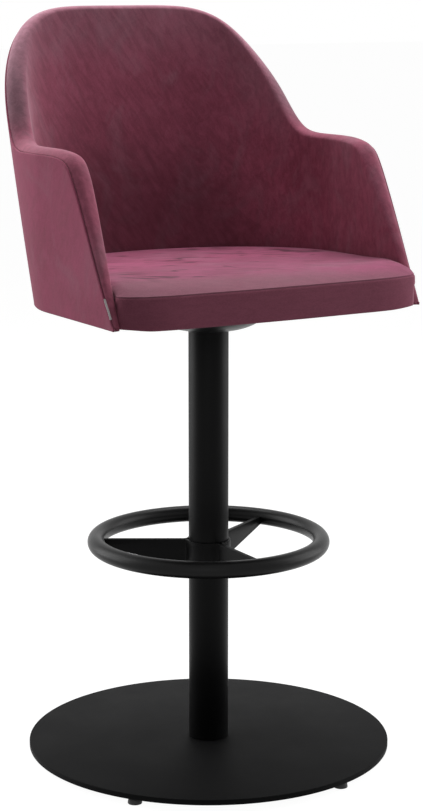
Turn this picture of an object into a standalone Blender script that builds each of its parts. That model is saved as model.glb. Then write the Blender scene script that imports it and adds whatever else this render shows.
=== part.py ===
# Bar stool: an upholstered tub seat that turns on a tubular column, with a ring footrest,
# on a round steel base plate with five levelling feet.
#
# Metres, +Z up, the floor at z = 0, the front of the seat towards -Y. Everything is modelled
# round the column, whose axis stands at x = y = 0 of the stool's own empty. That empty is
# then moved along Y, so that the world origin lies under the middle of the whole stool.
# Names that end in share or shares are parts of another size, from 0 to 1 or from -1 to 1.

import math

import bmesh
import bpy
from mathutils import Matrix, Vector

# Clearances
gap = 0.0003                      # between two pieces that touch
padding_gap = 0.0006              # between padding and the shell that carries it
overrun = 0.010                   # how far a cutter runs past the face that it opens

# Base plate
base_radius = 0.275
base_thickness = 0.0083
base_edge_chamfer = 0.0012
base_floor_distance = 0.0105      # from the floor to the plate's underside

# Levelling feet
foot_count = 5
foot_edge_distance = 0.015        # from the plate's rim to the middle of each foot
foot_pad_height = 0.0080
foot_pad_radius = 0.0105
foot_pad_top_radius = 0.0094
foot_pad_edge = 0.0010
foot_stud_radius = 0.0040
foot_stud_in_pad = 0.0035
foot_stud_in_plate = 0.0040
foot_hole_depth = 0.0063

# Column and the plug in its lower end
column_radius = 0.030
column_wall = 0.0025
foot_plug_height = 0.018

# Base screws, countersunk from beneath
base_screw_count = 4
base_screw_circle_radius = 0.017
base_screw_radius = 0.0040
base_screw_head_radius = 0.0076
base_screw_head_height = 0.0038
base_screw_length = 0.020
base_screw_recess = 0.0004
base_screw_socket_radius = 0.0029
base_screw_socket_depth = 0.0022

# Footrest
ring_radius = 0.1704              # to the middle of the tube
ring_tube_radius = 0.0127
ring_height = 0.3275              # from the floor to the middle of the tube
web_count = 3
web_thickness = 0.0030
web_bend_radius = 0.0055          # inside the bend
web_top_above_ring_middle = 0.0025
web_depth_at_column = 0.042
web_depth_at_ring = 0.012
web_bend_steps = 7
web_wrap_steps = 10

# Bearing housing in the column's top
housing_length = 0.095            # inside the column
housing_flange_thickness = 0.0040
bush_length = 0.022
bush_wall = 0.0025
bush_shoulder = 0.0010            # how far the housing's middle stands in under the bushes
race_thickness = 0.0016
race_width = 0.0085
ball_radius = 0.0015
ball_count = 10
cage_thickness = 0.0012
cage_width = 0.0065

# Spindle
spindle_radius = 0.014
spindle_collar_radius = 0.029
spindle_collar_thickness = 0.0070
spindle_end_radius = 0.0100
spindle_end_length = 0.0165
spindle_end_chamfer = 0.0012
washer_radius = 0.0230
washer_thickness = 0.0025
nut_radius = 0.0165               # across the corners, halved
nut_height = 0.0100

# Seat plate, its bolts and tee nuts
seat_plate_side = 0.204
seat_plate_thickness = 0.0040
seat_plate_corner_radius = 0.018
seat_bolt_spacing = 0.156
seat_bolt_radius = 0.0040
seat_bolt_head_radius = 0.0070
seat_bolt_head_height = 0.0045
seat_bolt_length = 0.0145
tee_nut_flange_radius = 0.0110
tee_nut_flange_thickness = 0.0015
tee_nut_barrel_wall = 0.0013
tee_nut_barrel_length = 0.0090

# Swivel cover
cover_neck_clearance = 0.0013     # round the column
cover_radius = 0.094
cover_depth = 0.0365
cover_wall = 0.0012
cover_lip = 0.0060
cover_fullness_share = 0.6        # how full the bowl's curve is
cover_profile_steps = 8
cover_screw_count = 3
cover_screw_radius = 0.0012
cover_screw_head_radius = 0.0022
cover_screw_head_height = 0.0016
cover_screw_length = 0.0045

# Dust cover and seat board
dust_cover_thickness = 0.0008
dust_cover_margin = 0.012
board_height = 0.693              # from the floor to the board's underside
board_thickness = 0.012
board_setback = 0.010             # from the cushion's front and side faces
board_shoulder_setback = 0.029    # from the tub's front corners back to the board's shoulders

# Seat cushion
cushion_front = 0.2005            # from the column's axis to the front face
cushion_half_width = 0.2430
cushion_corner_length = 0.092     # of its rounded front corners, along the front
cushion_corner_depth = 0.028      # the same, along the sides
cushion_front_bow = 0.0036
cushion_band_height = 0.047
cushion_band_below_board = 0.003
cushion_band_draw_in = 0.0010
cushion_band_roll = 0.0025
cushion_crown = 0.0165
cushion_rise_length = 0.070       # over which the top rises behind the front seam
cushion_corner_rise_share = 0.6   # of a front corner's depth, where its top begins to rise
cushion_summit = 0.110            # where the top is highest, in front of the column's axis
cushion_fall_share = 0.38         # of the crown that is gone at the back
cushion_back = 0.240              # before the tub trims it
cushion_spread = 0.0098           # by which it runs into the tub behind the arms
cushion_spread_start = 0.165
cushion_spread_end = 0.125
cushion_ring_shares = (0.985, 0.955, 0.895, 0.77, 0.55, 0.28)

# Tub: outside of the arms and back
tub_half_width = 0.2557
tub_lower_taper = 0.0019          # by which each arm draws in towards its front, at the foot
tub_upper_taper = 0.0163          # the same at the arm's top
tub_taper_share = 0.90            # 1 is a straight taper, more turns in nearer the front
tub_front = 0.179                 # from the column's axis to the arms' lower front corners
tub_back_centre = 0.0250          # where the arms end and the round back begins
tub_back_depth = 0.2190
tub_side_flare_share = 0.0585     # outward lean at the foot
tub_side_fade_share = 0.30        # by which that lean has faded at the top
tub_back_flare_share = 0.153
tub_back_fade_share = 0.16
tub_lower_squareness = 1.9        # 2 is an ellipse
tub_upper_squareness = 3.05
arm_height = 0.2248
back_height = 0.417
corner_rise = 0.003
back_girth_share = 0.60           # the round back's share of the way round to an arm's front

# Tub: walls
rim_wall = 0.0338
arm_lower_wall = 0.0105
wall_swell_share = 0.90           # 1 thickens evenly with height, less does so early
back_lower_wall = 0.050
rim_roll = 0.0073
roll_fullness_share = 0.7         # 1 is round, less is squarer
roll_start_height = 0.030         # over which the roll swells from an arm's lower front corner
outer_panel_thickness = 0.0030
shell_thickness = 0.0040

# Tub: the rim from an arm's lower front corner to the middle of the back, as shares of the
# way round and of the arm's height, and from the arm's end on as shares of the rest
arm_rim_shares = ((1.0, 0.0), (0.943, 0.233), (0.899, 0.421), (0.771, 0.955), (0.726, 0.988),
                  (0.662, 1.003), (0.558, 0.996))
back_rim_shares = ((0.460, 0.0), (0.396, 0.357), (0.317, 0.614), (0.218, 0.880),
                   (0.110, 1.0), (0.0, 1.0))
tub_stations = 24
tub_rows = 5
roll_steps = 6
slope_step_share = 0.001          # step that measures the tub's slopes

# Tub screws
tub_screw_girth_shares = (0.20, 0.65, 0.86)
tub_screw_radius = 0.0022
tub_screw_head_radius = 0.0042
tub_screw_head_height = 0.0022
tub_screw_length = 0.030
tub_screw_recess = 0.0010

# Seam tab
tab_length = 0.026
tab_width = 0.008
tab_thickness = 0.0008
tab_corner = 0.0003
tab_rim_share = 0.040             # where it sits along the rim, from the front corner

# Roundness
large_steps = 72
ring_steps = 56
ring_tube_steps = 12
column_steps = 36
bearing_steps = 24
small_steps = 12
ball_steps = 6
hexagon = 6

merge_distance = 0.00001


# Heights and radii that follow from the sizes above
foot_circle_radius = base_radius - foot_edge_distance
base_bottom = base_floor_distance
base_top = base_bottom + base_thickness
dust_cover_top = board_height - gap
seat_plate_top = dust_cover_top - dust_cover_thickness - gap
seat_plate_bottom = seat_plate_top - seat_plate_thickness
collar_top = seat_plate_bottom - gap
collar_bottom = collar_top - spindle_collar_thickness
upper_race_bottom = collar_bottom - gap - race_thickness
lower_race_top = upper_race_bottom - gap - 2 * ball_radius - gap
housing_top = lower_race_top - race_thickness - gap
column_bottom = base_top + gap
column_top = housing_top - housing_flange_thickness - gap
housing_bottom = column_top - housing_length
washer_top = housing_bottom - 2 * gap
nut_top = washer_top - washer_thickness - gap
board_top = board_height + board_thickness
column_bore_radius = column_radius - column_wall
housing_radius = column_bore_radius - gap
bush_radius = spindle_radius + gap + bush_wall
shell_outer_depth = outer_panel_thickness + gap
shell_inner_depth = shell_outer_depth + shell_thickness
lining_depth = shell_inner_depth + padding_gap


def remove_everything():
    for thing in list(bpy.data.objects):
        bpy.data.objects.remove(thing, do_unlink=True)


def new_collection(name):
    collection = bpy.data.collections.new(name)
    bpy.context.scene.collection.children.link(collection)
    return collection


def new_empty(name, parent=None, location=(0, 0, 0)):
    empty = bpy.data.objects.new(name, None)
    parts.objects.link(empty)
    empty.parent = parent
    empty.location = location
    return empty


def new_material(name, colour, roughness, metallic):
    material = bpy.data.materials.new(name)
    material.use_nodes = True
    shader = material.node_tree.nodes["Principled BSDF"]
    shader.inputs["Base Color"].default_value = (*colour, 1)
    shader.inputs["Roughness"].default_value = roughness
    shader.inputs["Metallic"].default_value = metallic
    material.diffuse_color = (*colour, 1)
    return material


def new_object(name, mesh, collection=None):
    thing = bpy.data.objects.new(name, mesh)
    (collection or cutters).objects.link(thing)
    return thing


def as_cutter(thing):
    thing.hide_render = True
    thing.display_type = "WIRE"
    return thing


def as_part(thing, parent, finish, location=(0, 0, 0), sharp_degrees=35):
    """Give a finished solid its place, its parent and its own material."""
    for collection in list(thing.users_collection):
        collection.objects.unlink(thing)
    parts.objects.link(thing)
    thing.parent = parent
    thing.location = location
    colour, roughness, metallic = finish
    thing.data.materials.clear()
    thing.data.materials.append(new_material(thing.name + "_finish", colour, roughness, metallic))
    thing.data.shade_smooth()
    thing.data.set_sharp_from_angle(angle=math.radians(sharp_degrees))
    return thing


def from_bmesh(name, shape):
    mesh = bpy.data.meshes.new(name)
    shape.to_mesh(mesh)
    shape.free()
    return new_object(name, mesh)


def settled(thing):
    """Replace an object by one that holds its evaluated mesh."""
    bpy.context.view_layer.update()
    name = thing.name
    evaluated = thing.evaluated_get(bpy.context.evaluated_depsgraph_get())
    mesh = bpy.data.meshes.new_from_object(evaluated)
    matrix = thing.matrix_world.copy()
    bpy.data.objects.remove(thing, do_unlink=True)
    shape = bmesh.new()
    shape.from_mesh(mesh)
    bmesh.ops.remove_doubles(shape, verts=shape.verts, dist=merge_distance)
    shape.to_mesh(mesh)
    shape.free()
    mesh.name = name
    result = new_object(name, mesh)
    result.matrix_world = matrix
    return result


def boolean(thing, other, operation):
    modifier = thing.modifiers.new(operation.lower(), "BOOLEAN")
    modifier.operation = operation
    modifier.object = other
    as_cutter(other)


def cut(thing, cutter):
    boolean(thing, cutter, "DIFFERENCE")


def lathe(name, profile, steps, closed=False):
    """Turn a profile of (radius, height) points, outer side first and downwards."""
    shape = bmesh.new()
    points = [shape.verts.new((radius, 0, height)) for radius, height in profile]
    for first, second in zip(points, points[1:]):
        shape.edges.new((first, second))
    if closed:
        shape.edges.new((points[-1], points[0]))
    thing = from_bmesh(name, shape)
    screw = thing.modifiers.new("turn", "SCREW")
    screw.angle = 2 * math.pi
    screw.steps = steps
    screw.render_steps = steps
    screw.use_merge_vertices = True
    screw.merge_threshold = merge_distance
    return thing


def disc(name, radius, low, high, steps, chamfer=0.0):
    """A solid disc on the Z axis, with an optional chamfer round its upper edge."""
    profile = [(0, high), (radius - chamfer, high)]
    if chamfer:
        profile.append((radius, high - chamfer))
    profile += [(radius, low), (0, low)]
    return lathe(name, profile, steps)


def tube(name, radius, bore, low, high, steps):
    profile = [(radius, high), (radius, low), (bore, low), (bore, high)]
    return lathe(name, profile, steps, closed=True)


def prism(name, radius, low, high, sides, places=((0, 0),)):
    """Upright prisms or cylinders of one size, at each (x, y) in places."""
    shape = bmesh.new()
    for x, y in places:
        middle = Matrix.Translation((x, y, (low + high) / 2))
        bmesh.ops.create_cone(shape, cap_ends=True, segments=sides, radius1=radius,
                              radius2=radius, depth=high - low, matrix=middle)
    return from_bmesh(name, shape)


def round_places(count, radius, turn=0.0):
    angles = [turn + 2 * math.pi * step / count for step in range(count)]
    return [(radius * math.cos(angle), radius * math.sin(angle)) for angle in angles]


def square_places(spacing):
    half = spacing / 2
    return [(half, half), (-half, half), (-half, -half), (half, -half)]


def arc(centre, radius, start, end, steps):
    angles = [start + (end - start) * step / steps for step in range(steps + 1)]
    return [(centre[0] + radius * math.cos(angle), centre[1] + radius * math.sin(angle))
            for angle in angles]


def flat_outline(name, outline, low, high):
    """A flat piece of any outline, made from a closed 2D curve."""
    curve = bpy.data.curves.new(name, "CURVE")
    curve.dimensions = "2D"
    curve.fill_mode = "BOTH"
    curve.extrude = (high - low) / 2
    spline = curve.splines.new("POLY")
    spline.points.add(len(outline) - 1)
    for point, (x, y) in zip(spline.points, outline):
        point.co = (x, y, 0, 1)
    spline.use_cyclic_u = True
    thing = new_object(name, curve)
    thing.location.z = (low + high) / 2
    flat = settled(thing)
    flat.data.transform(flat.matrix_world)
    flat.matrix_world = Matrix()
    return flat


def loft(name, sections, closed_sections, cap_first=False, cap_last=False, closed_run=False):
    """Skin a run of sections of equal length with triangles that all slant the same way."""
    shape = bmesh.new()
    rows = [[shape.verts.new(point) for point in section] for section in sections]
    run = len(rows) if closed_run else len(rows) - 1
    width = len(rows[0]) if closed_sections else len(rows[0]) - 1
    for i in range(run):
        here = rows[i]
        there = rows[(i + 1) % len(rows)]
        for j in range(width):
            k = (j + 1) % len(here)
            shape.faces.new((here[j], there[j], there[k]))
            shape.faces.new((here[j], there[k], here[k]))
    if cap_first:
        shape.faces.new(rows[0])
    if cap_last:
        shape.faces.new(list(reversed(rows[-1])))
    return from_bmesh(name, shape)


def mirrored(thing):
    mirror = thing.modifiers.new("other_side", "MIRROR")
    mirror.merge_threshold = merge_distance
    return thing


# Base and column

def make_base_plate():
    plate = disc("base_plate", base_radius, base_bottom, base_top, large_steps, base_edge_chamfer)
    foot_holes = prism("foot_hole_cutter", foot_stud_radius + gap, base_bottom - overrun,
                       base_bottom + foot_hole_depth, small_steps,
                       round_places(foot_count, foot_circle_radius))
    cut(plate, foot_holes)
    for number, place in enumerate(base_screw_places(), 1):
        cut(plate, countersink_cutter(f"base_screw_cutter_{number}", place))
    return as_part(plate, stool, black_coat)


def base_screw_places():
    return round_places(base_screw_count, base_screw_circle_radius, math.pi / base_screw_count)


def countersink_cutter(name, place):
    """The hole of a countersunk base screw, open at both faces of the plate."""
    head = base_screw_head_radius + gap
    hole = base_screw_radius + gap
    cone_top = base_bottom + base_screw_recess + base_screw_head_height
    profile = [(0, base_top + overrun), (hole, base_top + overrun), (hole, cone_top),
               (head, base_bottom + base_screw_recess), (head, base_bottom - overrun),
               (0, base_bottom - overrun)]
    cutter = lathe(name, profile, small_steps)
    cutter.location = (*place, 0)
    return cutter


def make_base_screws():
    low = base_bottom + base_screw_recess
    profile = [(0, low + base_screw_length), (base_screw_radius, low + base_screw_length),
               (base_screw_radius, low + base_screw_head_height),
               (base_screw_head_radius, low), (0, low)]
    pattern = lathe("base_screw_pattern", profile, small_steps)
    socket = prism("base_screw_socket", base_screw_socket_radius, low - overrun,
                   low + base_screw_socket_depth, hexagon)
    cut(pattern, socket)
    copies_of(pattern, "base_screw", base_screw_places(), stool, zinc)


def copies_of(pattern, name, places, parent, finish):
    """Put copies of one solid at each (x, y), all sharing its mesh."""
    solid = settled(pattern)
    mesh = solid.data
    bpy.data.objects.remove(solid, do_unlink=True)
    for number, place in enumerate(places, 1):
        thing = new_object(f"{name}_{number}", mesh)
        as_part(thing, parent, finish, location=(*place, 0))


def make_foot_plug():
    plug = disc("column_foot_plug", column_bore_radius - gap, column_bottom,
                column_bottom + foot_plug_height, column_steps)
    depth = base_bottom + base_screw_recess + base_screw_length + gap
    cut(plug, prism("foot_plug_hole_cutter", base_screw_radius + gap, column_bottom - overrun,
                    depth, small_steps, base_screw_places()))
    return as_part(plug, stool, steel)


def make_column():
    column = tube("column_tube", column_radius, column_bore_radius, column_bottom, column_top,
                  column_steps)
    return as_part(column, stool, black_coat)


def make_feet():
    stud_low = foot_pad_height - foot_stud_in_pad
    stud_high = base_bottom + foot_stud_in_plate
    seat_low = stud_low - gap
    pad_profile = [(0, seat_low), (foot_stud_radius + gap, seat_low),
                   (foot_stud_radius + gap, foot_pad_height), (foot_pad_top_radius, foot_pad_height),
                   (foot_pad_radius, foot_pad_edge), (foot_pad_radius - foot_pad_edge, 0), (0, 0)]
    pad = lathe("foot_pad_pattern", pad_profile, small_steps)
    places = round_places(foot_count, foot_circle_radius)
    copies_of(pad, "foot_pad", places, stool, foot_plastic)
    stud = disc("foot_stud_pattern", foot_stud_radius, stud_low, stud_high, small_steps)
    copies_of(stud, "foot_stud", places, stool, zinc)


# Footrest

def ring_shape(name, tube_radius):
    bpy.ops.mesh.primitive_torus_add(major_segments=ring_steps, minor_segments=ring_tube_steps,
                                     major_radius=ring_radius, minor_radius=tube_radius,
                                     location=(0, 0, ring_height))
    ring = bpy.context.active_object
    ring.name = name
    ring.data.transform(Matrix.Translation(ring.location))
    ring.location = (0, 0, 0)
    return ring


def web_path():
    """Middle line of one bent web, seen from above, wrapped round the column about +X."""
    half_angle = math.pi / web_count
    ply = (gap + web_thickness) / 2
    wrap = column_radius + gap + web_thickness / 2
    bend = web_bend_radius + web_thickness / 2
    along = Vector((math.cos(half_angle), math.sin(half_angle)))
    across = Vector((-along.y, along.x))
    reach = math.sqrt((wrap + bend) ** 2 - (ply + bend) ** 2)
    bend_centre = reach * along - (ply + bend) * across
    wrap_angle = math.atan2(bend_centre.y, bend_centre.x)
    end = ring_radius * along - ply * across
    bend_start = half_angle + math.pi / 2
    bend_points = arc(bend_centre, bend, bend_start, wrap_angle + math.pi, web_bend_steps)
    wrap_points = arc((0, 0), wrap, wrap_angle, 0, web_wrap_steps // 2)
    half = [tuple(end)] + bend_points + wrap_points[1:]
    other_half = [(x, -y) for x, y in reversed(half[:-1])]
    return half + other_half, reach


def make_webs():
    path, reach = web_path()
    top = ring_height + web_top_above_ring_middle
    length = ring_radius - ring_tube_radius - reach
    shape = bmesh.new()
    points = [shape.verts.new((x, y, top)) for x, y in path]
    edges = [shape.edges.new(pair) for pair in zip(points, points[1:])]
    made = bmesh.ops.extrude_edge_only(shape, edges=edges)["geom"]
    for point in made:
        if isinstance(point, bmesh.types.BMVert):
            out_share = max(0, (point.co.xy.length - reach) / length)
            point.co.z -= web_depth_at_column + (web_depth_at_ring - web_depth_at_column) * out_share
    bmesh.ops.recalc_face_normals(shape, faces=shape.faces)
    pattern = from_bmesh("footrest_web_pattern", shape)
    sheet = pattern.modifiers.new("sheet", "SOLIDIFY")
    sheet.thickness = web_thickness
    sheet.offset = 0
    cut(pattern, ring_shape("footrest_web_cutter", ring_tube_radius + gap))
    solid = settled(pattern)
    for number in range(1, web_count + 1):
        web = new_object(f"footrest_web_{number}", solid.data)
        as_part(web, stool, black_coat)
        # the first spoke lies straight ahead, so the webs' middles stand half a step beside it
        web.rotation_euler.z = -math.pi / 2 + (2 * number - 1) * math.pi / web_count
    bpy.data.objects.remove(solid, do_unlink=True)


def make_ring():
    return as_part(ring_shape("footrest_ring", ring_tube_radius), stool, black_coat)


# Swivel

def make_housing():
    seat_radius = bush_radius + gap
    middle_radius = seat_radius - bush_shoulder
    seat_low = housing_top - bush_length - gap
    seat_high = housing_bottom + bush_length + gap
    profile = [(column_radius, housing_top), (column_radius, column_top + gap),
               (housing_radius, column_top + gap), (housing_radius, housing_bottom),
               (seat_radius, housing_bottom), (seat_radius, seat_high), (middle_radius, seat_high),
               (middle_radius, seat_low), (seat_radius, seat_low), (seat_radius, housing_top)]
    housing = lathe("swivel_housing", profile, column_steps, closed=True)
    return as_part(housing, stool, steel)


def make_bushes():
    bore = spindle_radius + gap
    upper = tube("swivel_bush_upper", bush_radius, bore, housing_top - bush_length, housing_top,
                 bearing_steps)
    lower = tube("swivel_bush_lower", bush_radius, bore, housing_bottom,
                 housing_bottom + bush_length, bearing_steps)
    as_part(upper, stool, bush_plastic)
    as_part(lower, stool, bush_plastic)


def make_thrust_bearing():
    bore = spindle_radius + 2 * gap
    outer = bore + race_width
    lower = tube("thrust_race_lower", outer, bore, lower_race_top - race_thickness,
                 lower_race_top, bearing_steps)
    upper = tube("thrust_race_upper", outer, bore, upper_race_bottom,
                 upper_race_bottom + race_thickness, bearing_steps)
    as_part(lower, stool, steel)
    as_part(upper, swivel, steel)
    middle = (lower_race_top + upper_race_bottom) / 2
    circle = bore + race_width / 2
    cage = tube("thrust_ball_cage", circle + cage_width / 2, circle - cage_width / 2,
                middle - cage_thickness / 2, middle + cage_thickness / 2, bearing_steps)
    shape = bmesh.new()
    for x, y in round_places(ball_count, circle):
        bmesh.ops.create_uvsphere(shape, u_segments=ball_steps, v_segments=ball_steps - 2,
                                  radius=ball_radius, matrix=Matrix.Translation((x, y, middle)))
    boolean(cage, from_bmesh("thrust_balls", shape), "UNION")
    as_part(cage, stool, steel)


def make_spindle():
    boss_top = seat_plate_top
    end_low = washer_top + gap - spindle_end_length
    profile = [(0, boss_top), (spindle_radius, boss_top), (spindle_radius, collar_top),
               (spindle_collar_radius, collar_top), (spindle_collar_radius, collar_bottom),
               (spindle_radius, collar_bottom), (spindle_radius, washer_top + gap),
               (spindle_end_radius, washer_top + gap),
               (spindle_end_radius, end_low + spindle_end_chamfer),
               (spindle_end_radius - spindle_end_chamfer, end_low), (0, end_low)]
    as_part(lathe("swivel_spindle", profile, bearing_steps), swivel, steel)
    bore = spindle_end_radius + gap
    washer = tube("spindle_washer", washer_radius, bore, washer_top - washer_thickness, washer_top,
                  bearing_steps)
    as_part(washer, swivel, zinc)
    nut = prism("spindle_nut", nut_radius, nut_top - nut_height, nut_top, hexagon)
    cut(nut, prism("spindle_nut_cutter", bore, nut_top - nut_height - overrun, nut_top + overrun,
                   bearing_steps))
    as_part(nut, swivel, zinc)


def rounded_square(side, radius, steps):
    half = side / 2 - radius
    outline = []
    for quarter, (x, y) in enumerate([(half, half), (-half, half), (-half, -half), (half, -half)]):
        start = quarter * math.pi / 2
        outline += arc((x, y), radius, start, start + math.pi / 2, steps)
    return outline


def cover_screw_places():
    return round_places(cover_screw_count, cover_radius + cover_lip / 2, math.pi / 2)


def make_seat_plate():
    plate = flat_outline("seat_plate",
                         rounded_square(seat_plate_side, seat_plate_corner_radius, small_steps // 3),
                         seat_plate_bottom, seat_plate_top)
    low = seat_plate_bottom - overrun
    high = seat_plate_top + overrun
    cut(plate, prism("spindle_hole_cutter", spindle_radius + gap, low, high, bearing_steps))
    cut(plate, prism("seat_bolt_hole_cutter", seat_bolt_radius + gap, low, high, small_steps,
                     square_places(seat_bolt_spacing)))
    cut(plate, prism("cover_screw_hole_cutter", cover_screw_radius + gap, low, high, small_steps,
                     cover_screw_places()))
    return as_part(plate, swivel, black_coat)


def make_seat_bolts():
    head_top = seat_plate_bottom - gap
    shank = prism("seat_bolt_pattern", seat_bolt_radius, head_top - seat_bolt_head_height / 2,
                  head_top + seat_bolt_length, small_steps)
    head = prism("seat_bolt_head", seat_bolt_head_radius, head_top - seat_bolt_head_height,
                 head_top, hexagon)
    boolean(shank, head, "UNION")
    copies_of(shank, "seat_bolt", square_places(seat_bolt_spacing), swivel, zinc)


def make_tee_nuts():
    bore = seat_bolt_radius + gap
    barrel = bore + tee_nut_barrel_wall
    flange_bottom = board_top - tee_nut_flange_thickness
    profile = [(tee_nut_flange_radius, board_top), (tee_nut_flange_radius, flange_bottom),
               (barrel, flange_bottom), (barrel, board_top - tee_nut_barrel_length),
               (bore, board_top - tee_nut_barrel_length), (bore, board_top)]
    pattern = lathe("tee_nut_pattern", profile, small_steps, closed=True)
    copies_of(pattern, "seat_tee_nut", square_places(seat_bolt_spacing), swivel, zinc)


def make_cover():
    top = seat_plate_bottom - gap
    neck = column_radius + cover_neck_clearance
    profile = [(cover_radius + cover_lip, top)]
    for step in range(cover_profile_steps, -1, -1):
        angle = step * math.pi / 2 / cover_profile_steps
        out_share = math.sin(angle)
        down_share = math.cos(angle) ** (2 * cover_fullness_share)
        profile.append((neck + (cover_radius - neck) * out_share,
                        top - (cover_depth - cover_wall) * down_share))
    cover = lathe("swivel_cover", profile, column_steps)
    # the bowl's wall goes outwards from this profile, so the lip lies flat under the plate
    wall = cover.modifiers.new("wall", "SOLIDIFY")
    wall.thickness = cover_wall
    wall.offset = 1
    cut(cover, prism("cover_lip_hole_cutter", cover_screw_radius + gap, top - overrun,
                     top + overrun, small_steps, cover_screw_places()))
    as_part(cover, swivel, black_satin)
    head_top = top - cover_wall - gap
    screw_profile = [(0, head_top + cover_screw_length),
                     (cover_screw_radius, head_top + cover_screw_length),
                     (cover_screw_radius, head_top), (cover_screw_head_radius, head_top),
                     (cover_screw_head_radius, head_top - cover_screw_head_height),
                     (0, head_top - cover_screw_head_height)]
    pattern = lathe("cover_screw_pattern", screw_profile, small_steps)
    copies_of(pattern, "cover_screw", cover_screw_places(), swivel, zinc)


# Tub: its surface

def mix(first, second, share):
    return first + (second - first) * share


def rim_control_points():
    arm = [(girth, arm_height * share) for girth, share in arm_rim_shares]
    arm[0] = (1.0, corner_rise)
    back = [(girth, mix(arm_height, back_height, share)) for girth, share in back_rim_shares]
    return [Vector(point) for point in arm + back]


def rim_point(share):
    """Place on the rim, as (share of the girth, height), from a front corner to the middle."""
    points = rim_control_points()
    points = [2 * points[0] - points[1]] + points + [2 * points[-1] - points[-2]]
    place = share * (len(points) - 3)
    first = min(int(place), len(points) - 4)
    t = place - first
    weights = ((1 - t) ** 3 / 6, (3 * t ** 3 - 6 * t ** 2 + 4) / 6,
               (-3 * t ** 3 + 3 * t ** 2 + 3 * t + 1) / 6, t ** 3 / 6)
    place = Vector((0, 0))
    for weight, point in zip(weights, points[first:first + 4]):
        place += weight * point
    return place


def tub_outside(girth, height):
    """Point on the tub's outer face: girth is 0 at the back's middle and 1 at the arm's front."""
    high_share = height / back_height
    side_lean = tub_side_flare_share * (1 - tub_side_fade_share * high_share)
    back_lean = tub_back_flare_share * (1 - tub_back_fade_share * high_share)
    half_width = tub_half_width + side_lean * height
    back_depth = tub_back_depth + back_lean * height
    squareness = mix(tub_lower_squareness, tub_upper_squareness, high_share)
    if girth < back_girth_share:
        turn = girth / back_girth_share * math.pi / 2
        side = math.copysign(abs(math.sin(turn)) ** (2 / squareness), turn)
        x = half_width * side
        y = tub_back_centre + back_depth * abs(math.cos(turn)) ** (2 / squareness)
    else:
        forward = (girth - back_girth_share) / (1 - back_girth_share)
        taper = mix(tub_lower_taper, tub_upper_taper, (height / arm_height) ** 2)
        x = half_width - taper * forward ** tub_taper_share
        y = mix(tub_back_centre, -tub_front, forward)
    return Vector((x, y, board_height + height))


def tub_outward(girth, height):
    step = slope_step_share
    along = tub_outside(girth + step, height) - tub_outside(girth - step, height)
    rise = back_height * step
    up = tub_outside(girth, height + rise) - tub_outside(girth, height - rise)
    return up.cross(along).normalized()


def tub_wall(girth, height):
    """Whole thickness of the upholstered wall."""
    backward = 0.5 + 0.5 * math.cos(math.pi * min(girth / back_girth_share, 1))
    lower_wall = mix(arm_lower_wall, back_lower_wall, backward)
    return mix(lower_wall, rim_wall, min(height / arm_height, 1) ** wall_swell_share)


def station_shares():
    return [station / tub_stations for station in range(tub_stations + 1)]


def station_length_shares():
    """How far each rim station lies along the rim, for the foot of its line on the board."""
    places = [rim_point(share) for share in station_shares()]
    outside = [tub_outside(place.x, place.y) for place in places]
    lengths = [0.0]
    for first, second in zip(outside, outside[1:]):
        lengths.append(lengths[-1] + (second - first).length)
    return [length / lengths[-1] for length in lengths]


def tub_station(station, depth_of, rises):
    """Points up one line of the tub, at the depth that depth_of(girth, height) gives."""
    rim = rim_point(station_shares()[station])
    foot = 1 - station_length_shares()[station]
    points = []
    for rise in rises:
        girth = mix(foot, rim.x, rise)
        height = rim.y * rise
        inward = -tub_outward(girth, height)
        points.append(tub_outside(girth, height) + inward * depth_of(girth, height))
    return points


def rim_frame(station):
    """Point on the outer face at the rim, with the outward and the over-the-rim directions."""
    shares = station_shares()
    rim = rim_point(shares[station])
    before = rim_point(shares[max(station - 1, 0)])
    after = rim_point(shares[min(station + 1, tub_stations)])
    along = tub_outside(after.x, after.y) - tub_outside(before.x, before.y)
    if station == tub_stations:
        along.y = 0
        along.z = 0
    outward = tub_outward(rim.x, rim.y)
    over = outward.cross(along).normalized()
    return tub_outside(rim.x, rim.y), outward, over, tub_wall(rim.x, rim.y)


rows_up = [row / tub_rows for row in range(tub_rows + 1)]
rows_down = list(reversed(rows_up))


def tub_sheet(name, depth, thickness):
    """A sheet that follows the tub's outer face at one depth, thickened inwards."""
    sections = [tub_station(station, lambda girth, height: depth, rows_up)
                for station in range(tub_stations + 1)]
    sheet = mirrored(loft(name, sections, closed_sections=False))
    solid = sheet.modifiers.new("thickness", "SOLIDIFY")
    solid.thickness = thickness
    solid.offset = -1
    return sheet


def roll_points(station, wall, grow):
    """Points over the rim from the outer face to the inner, standing proud by the roll."""
    corner, outward, over, rim_thickness = rim_frame(station)
    swell = min(1, (corner.z - board_height) / roll_start_height)
    lift = rim_roll * swell * min(1, rim_thickness / rim_wall) + grow
    points = []
    for step in range(roll_steps + 1):
        angle = math.pi * step / roll_steps
        across = math.copysign(abs(math.cos(angle)) ** roll_fullness_share, math.cos(angle))
        across_share = 0.5 - 0.5 * across
        rise = padding_gap + lift * math.sin(angle) ** roll_fullness_share
        points.append(corner - outward * mix(-grow, wall + grow, across_share) + over * rise)
    return points


def lining_sections():
    """Closed sections of the padded lining: up beside the shell, over the rim and down inside."""
    sections = []
    for station in range(tub_stations + 1):
        corner, outward, over, wall = rim_frame(station)
        beside_shell = tub_station(station, lambda girth, height: lining_depth, rows_up)
        over_shell = [corner - outward * lining_depth + over * padding_gap]
        inside = tub_station(station, tub_wall, rows_down)
        sections.append(beside_shell + over_shell + roll_points(station, wall, 0)[:-1] + inside)
    return sections


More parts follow.
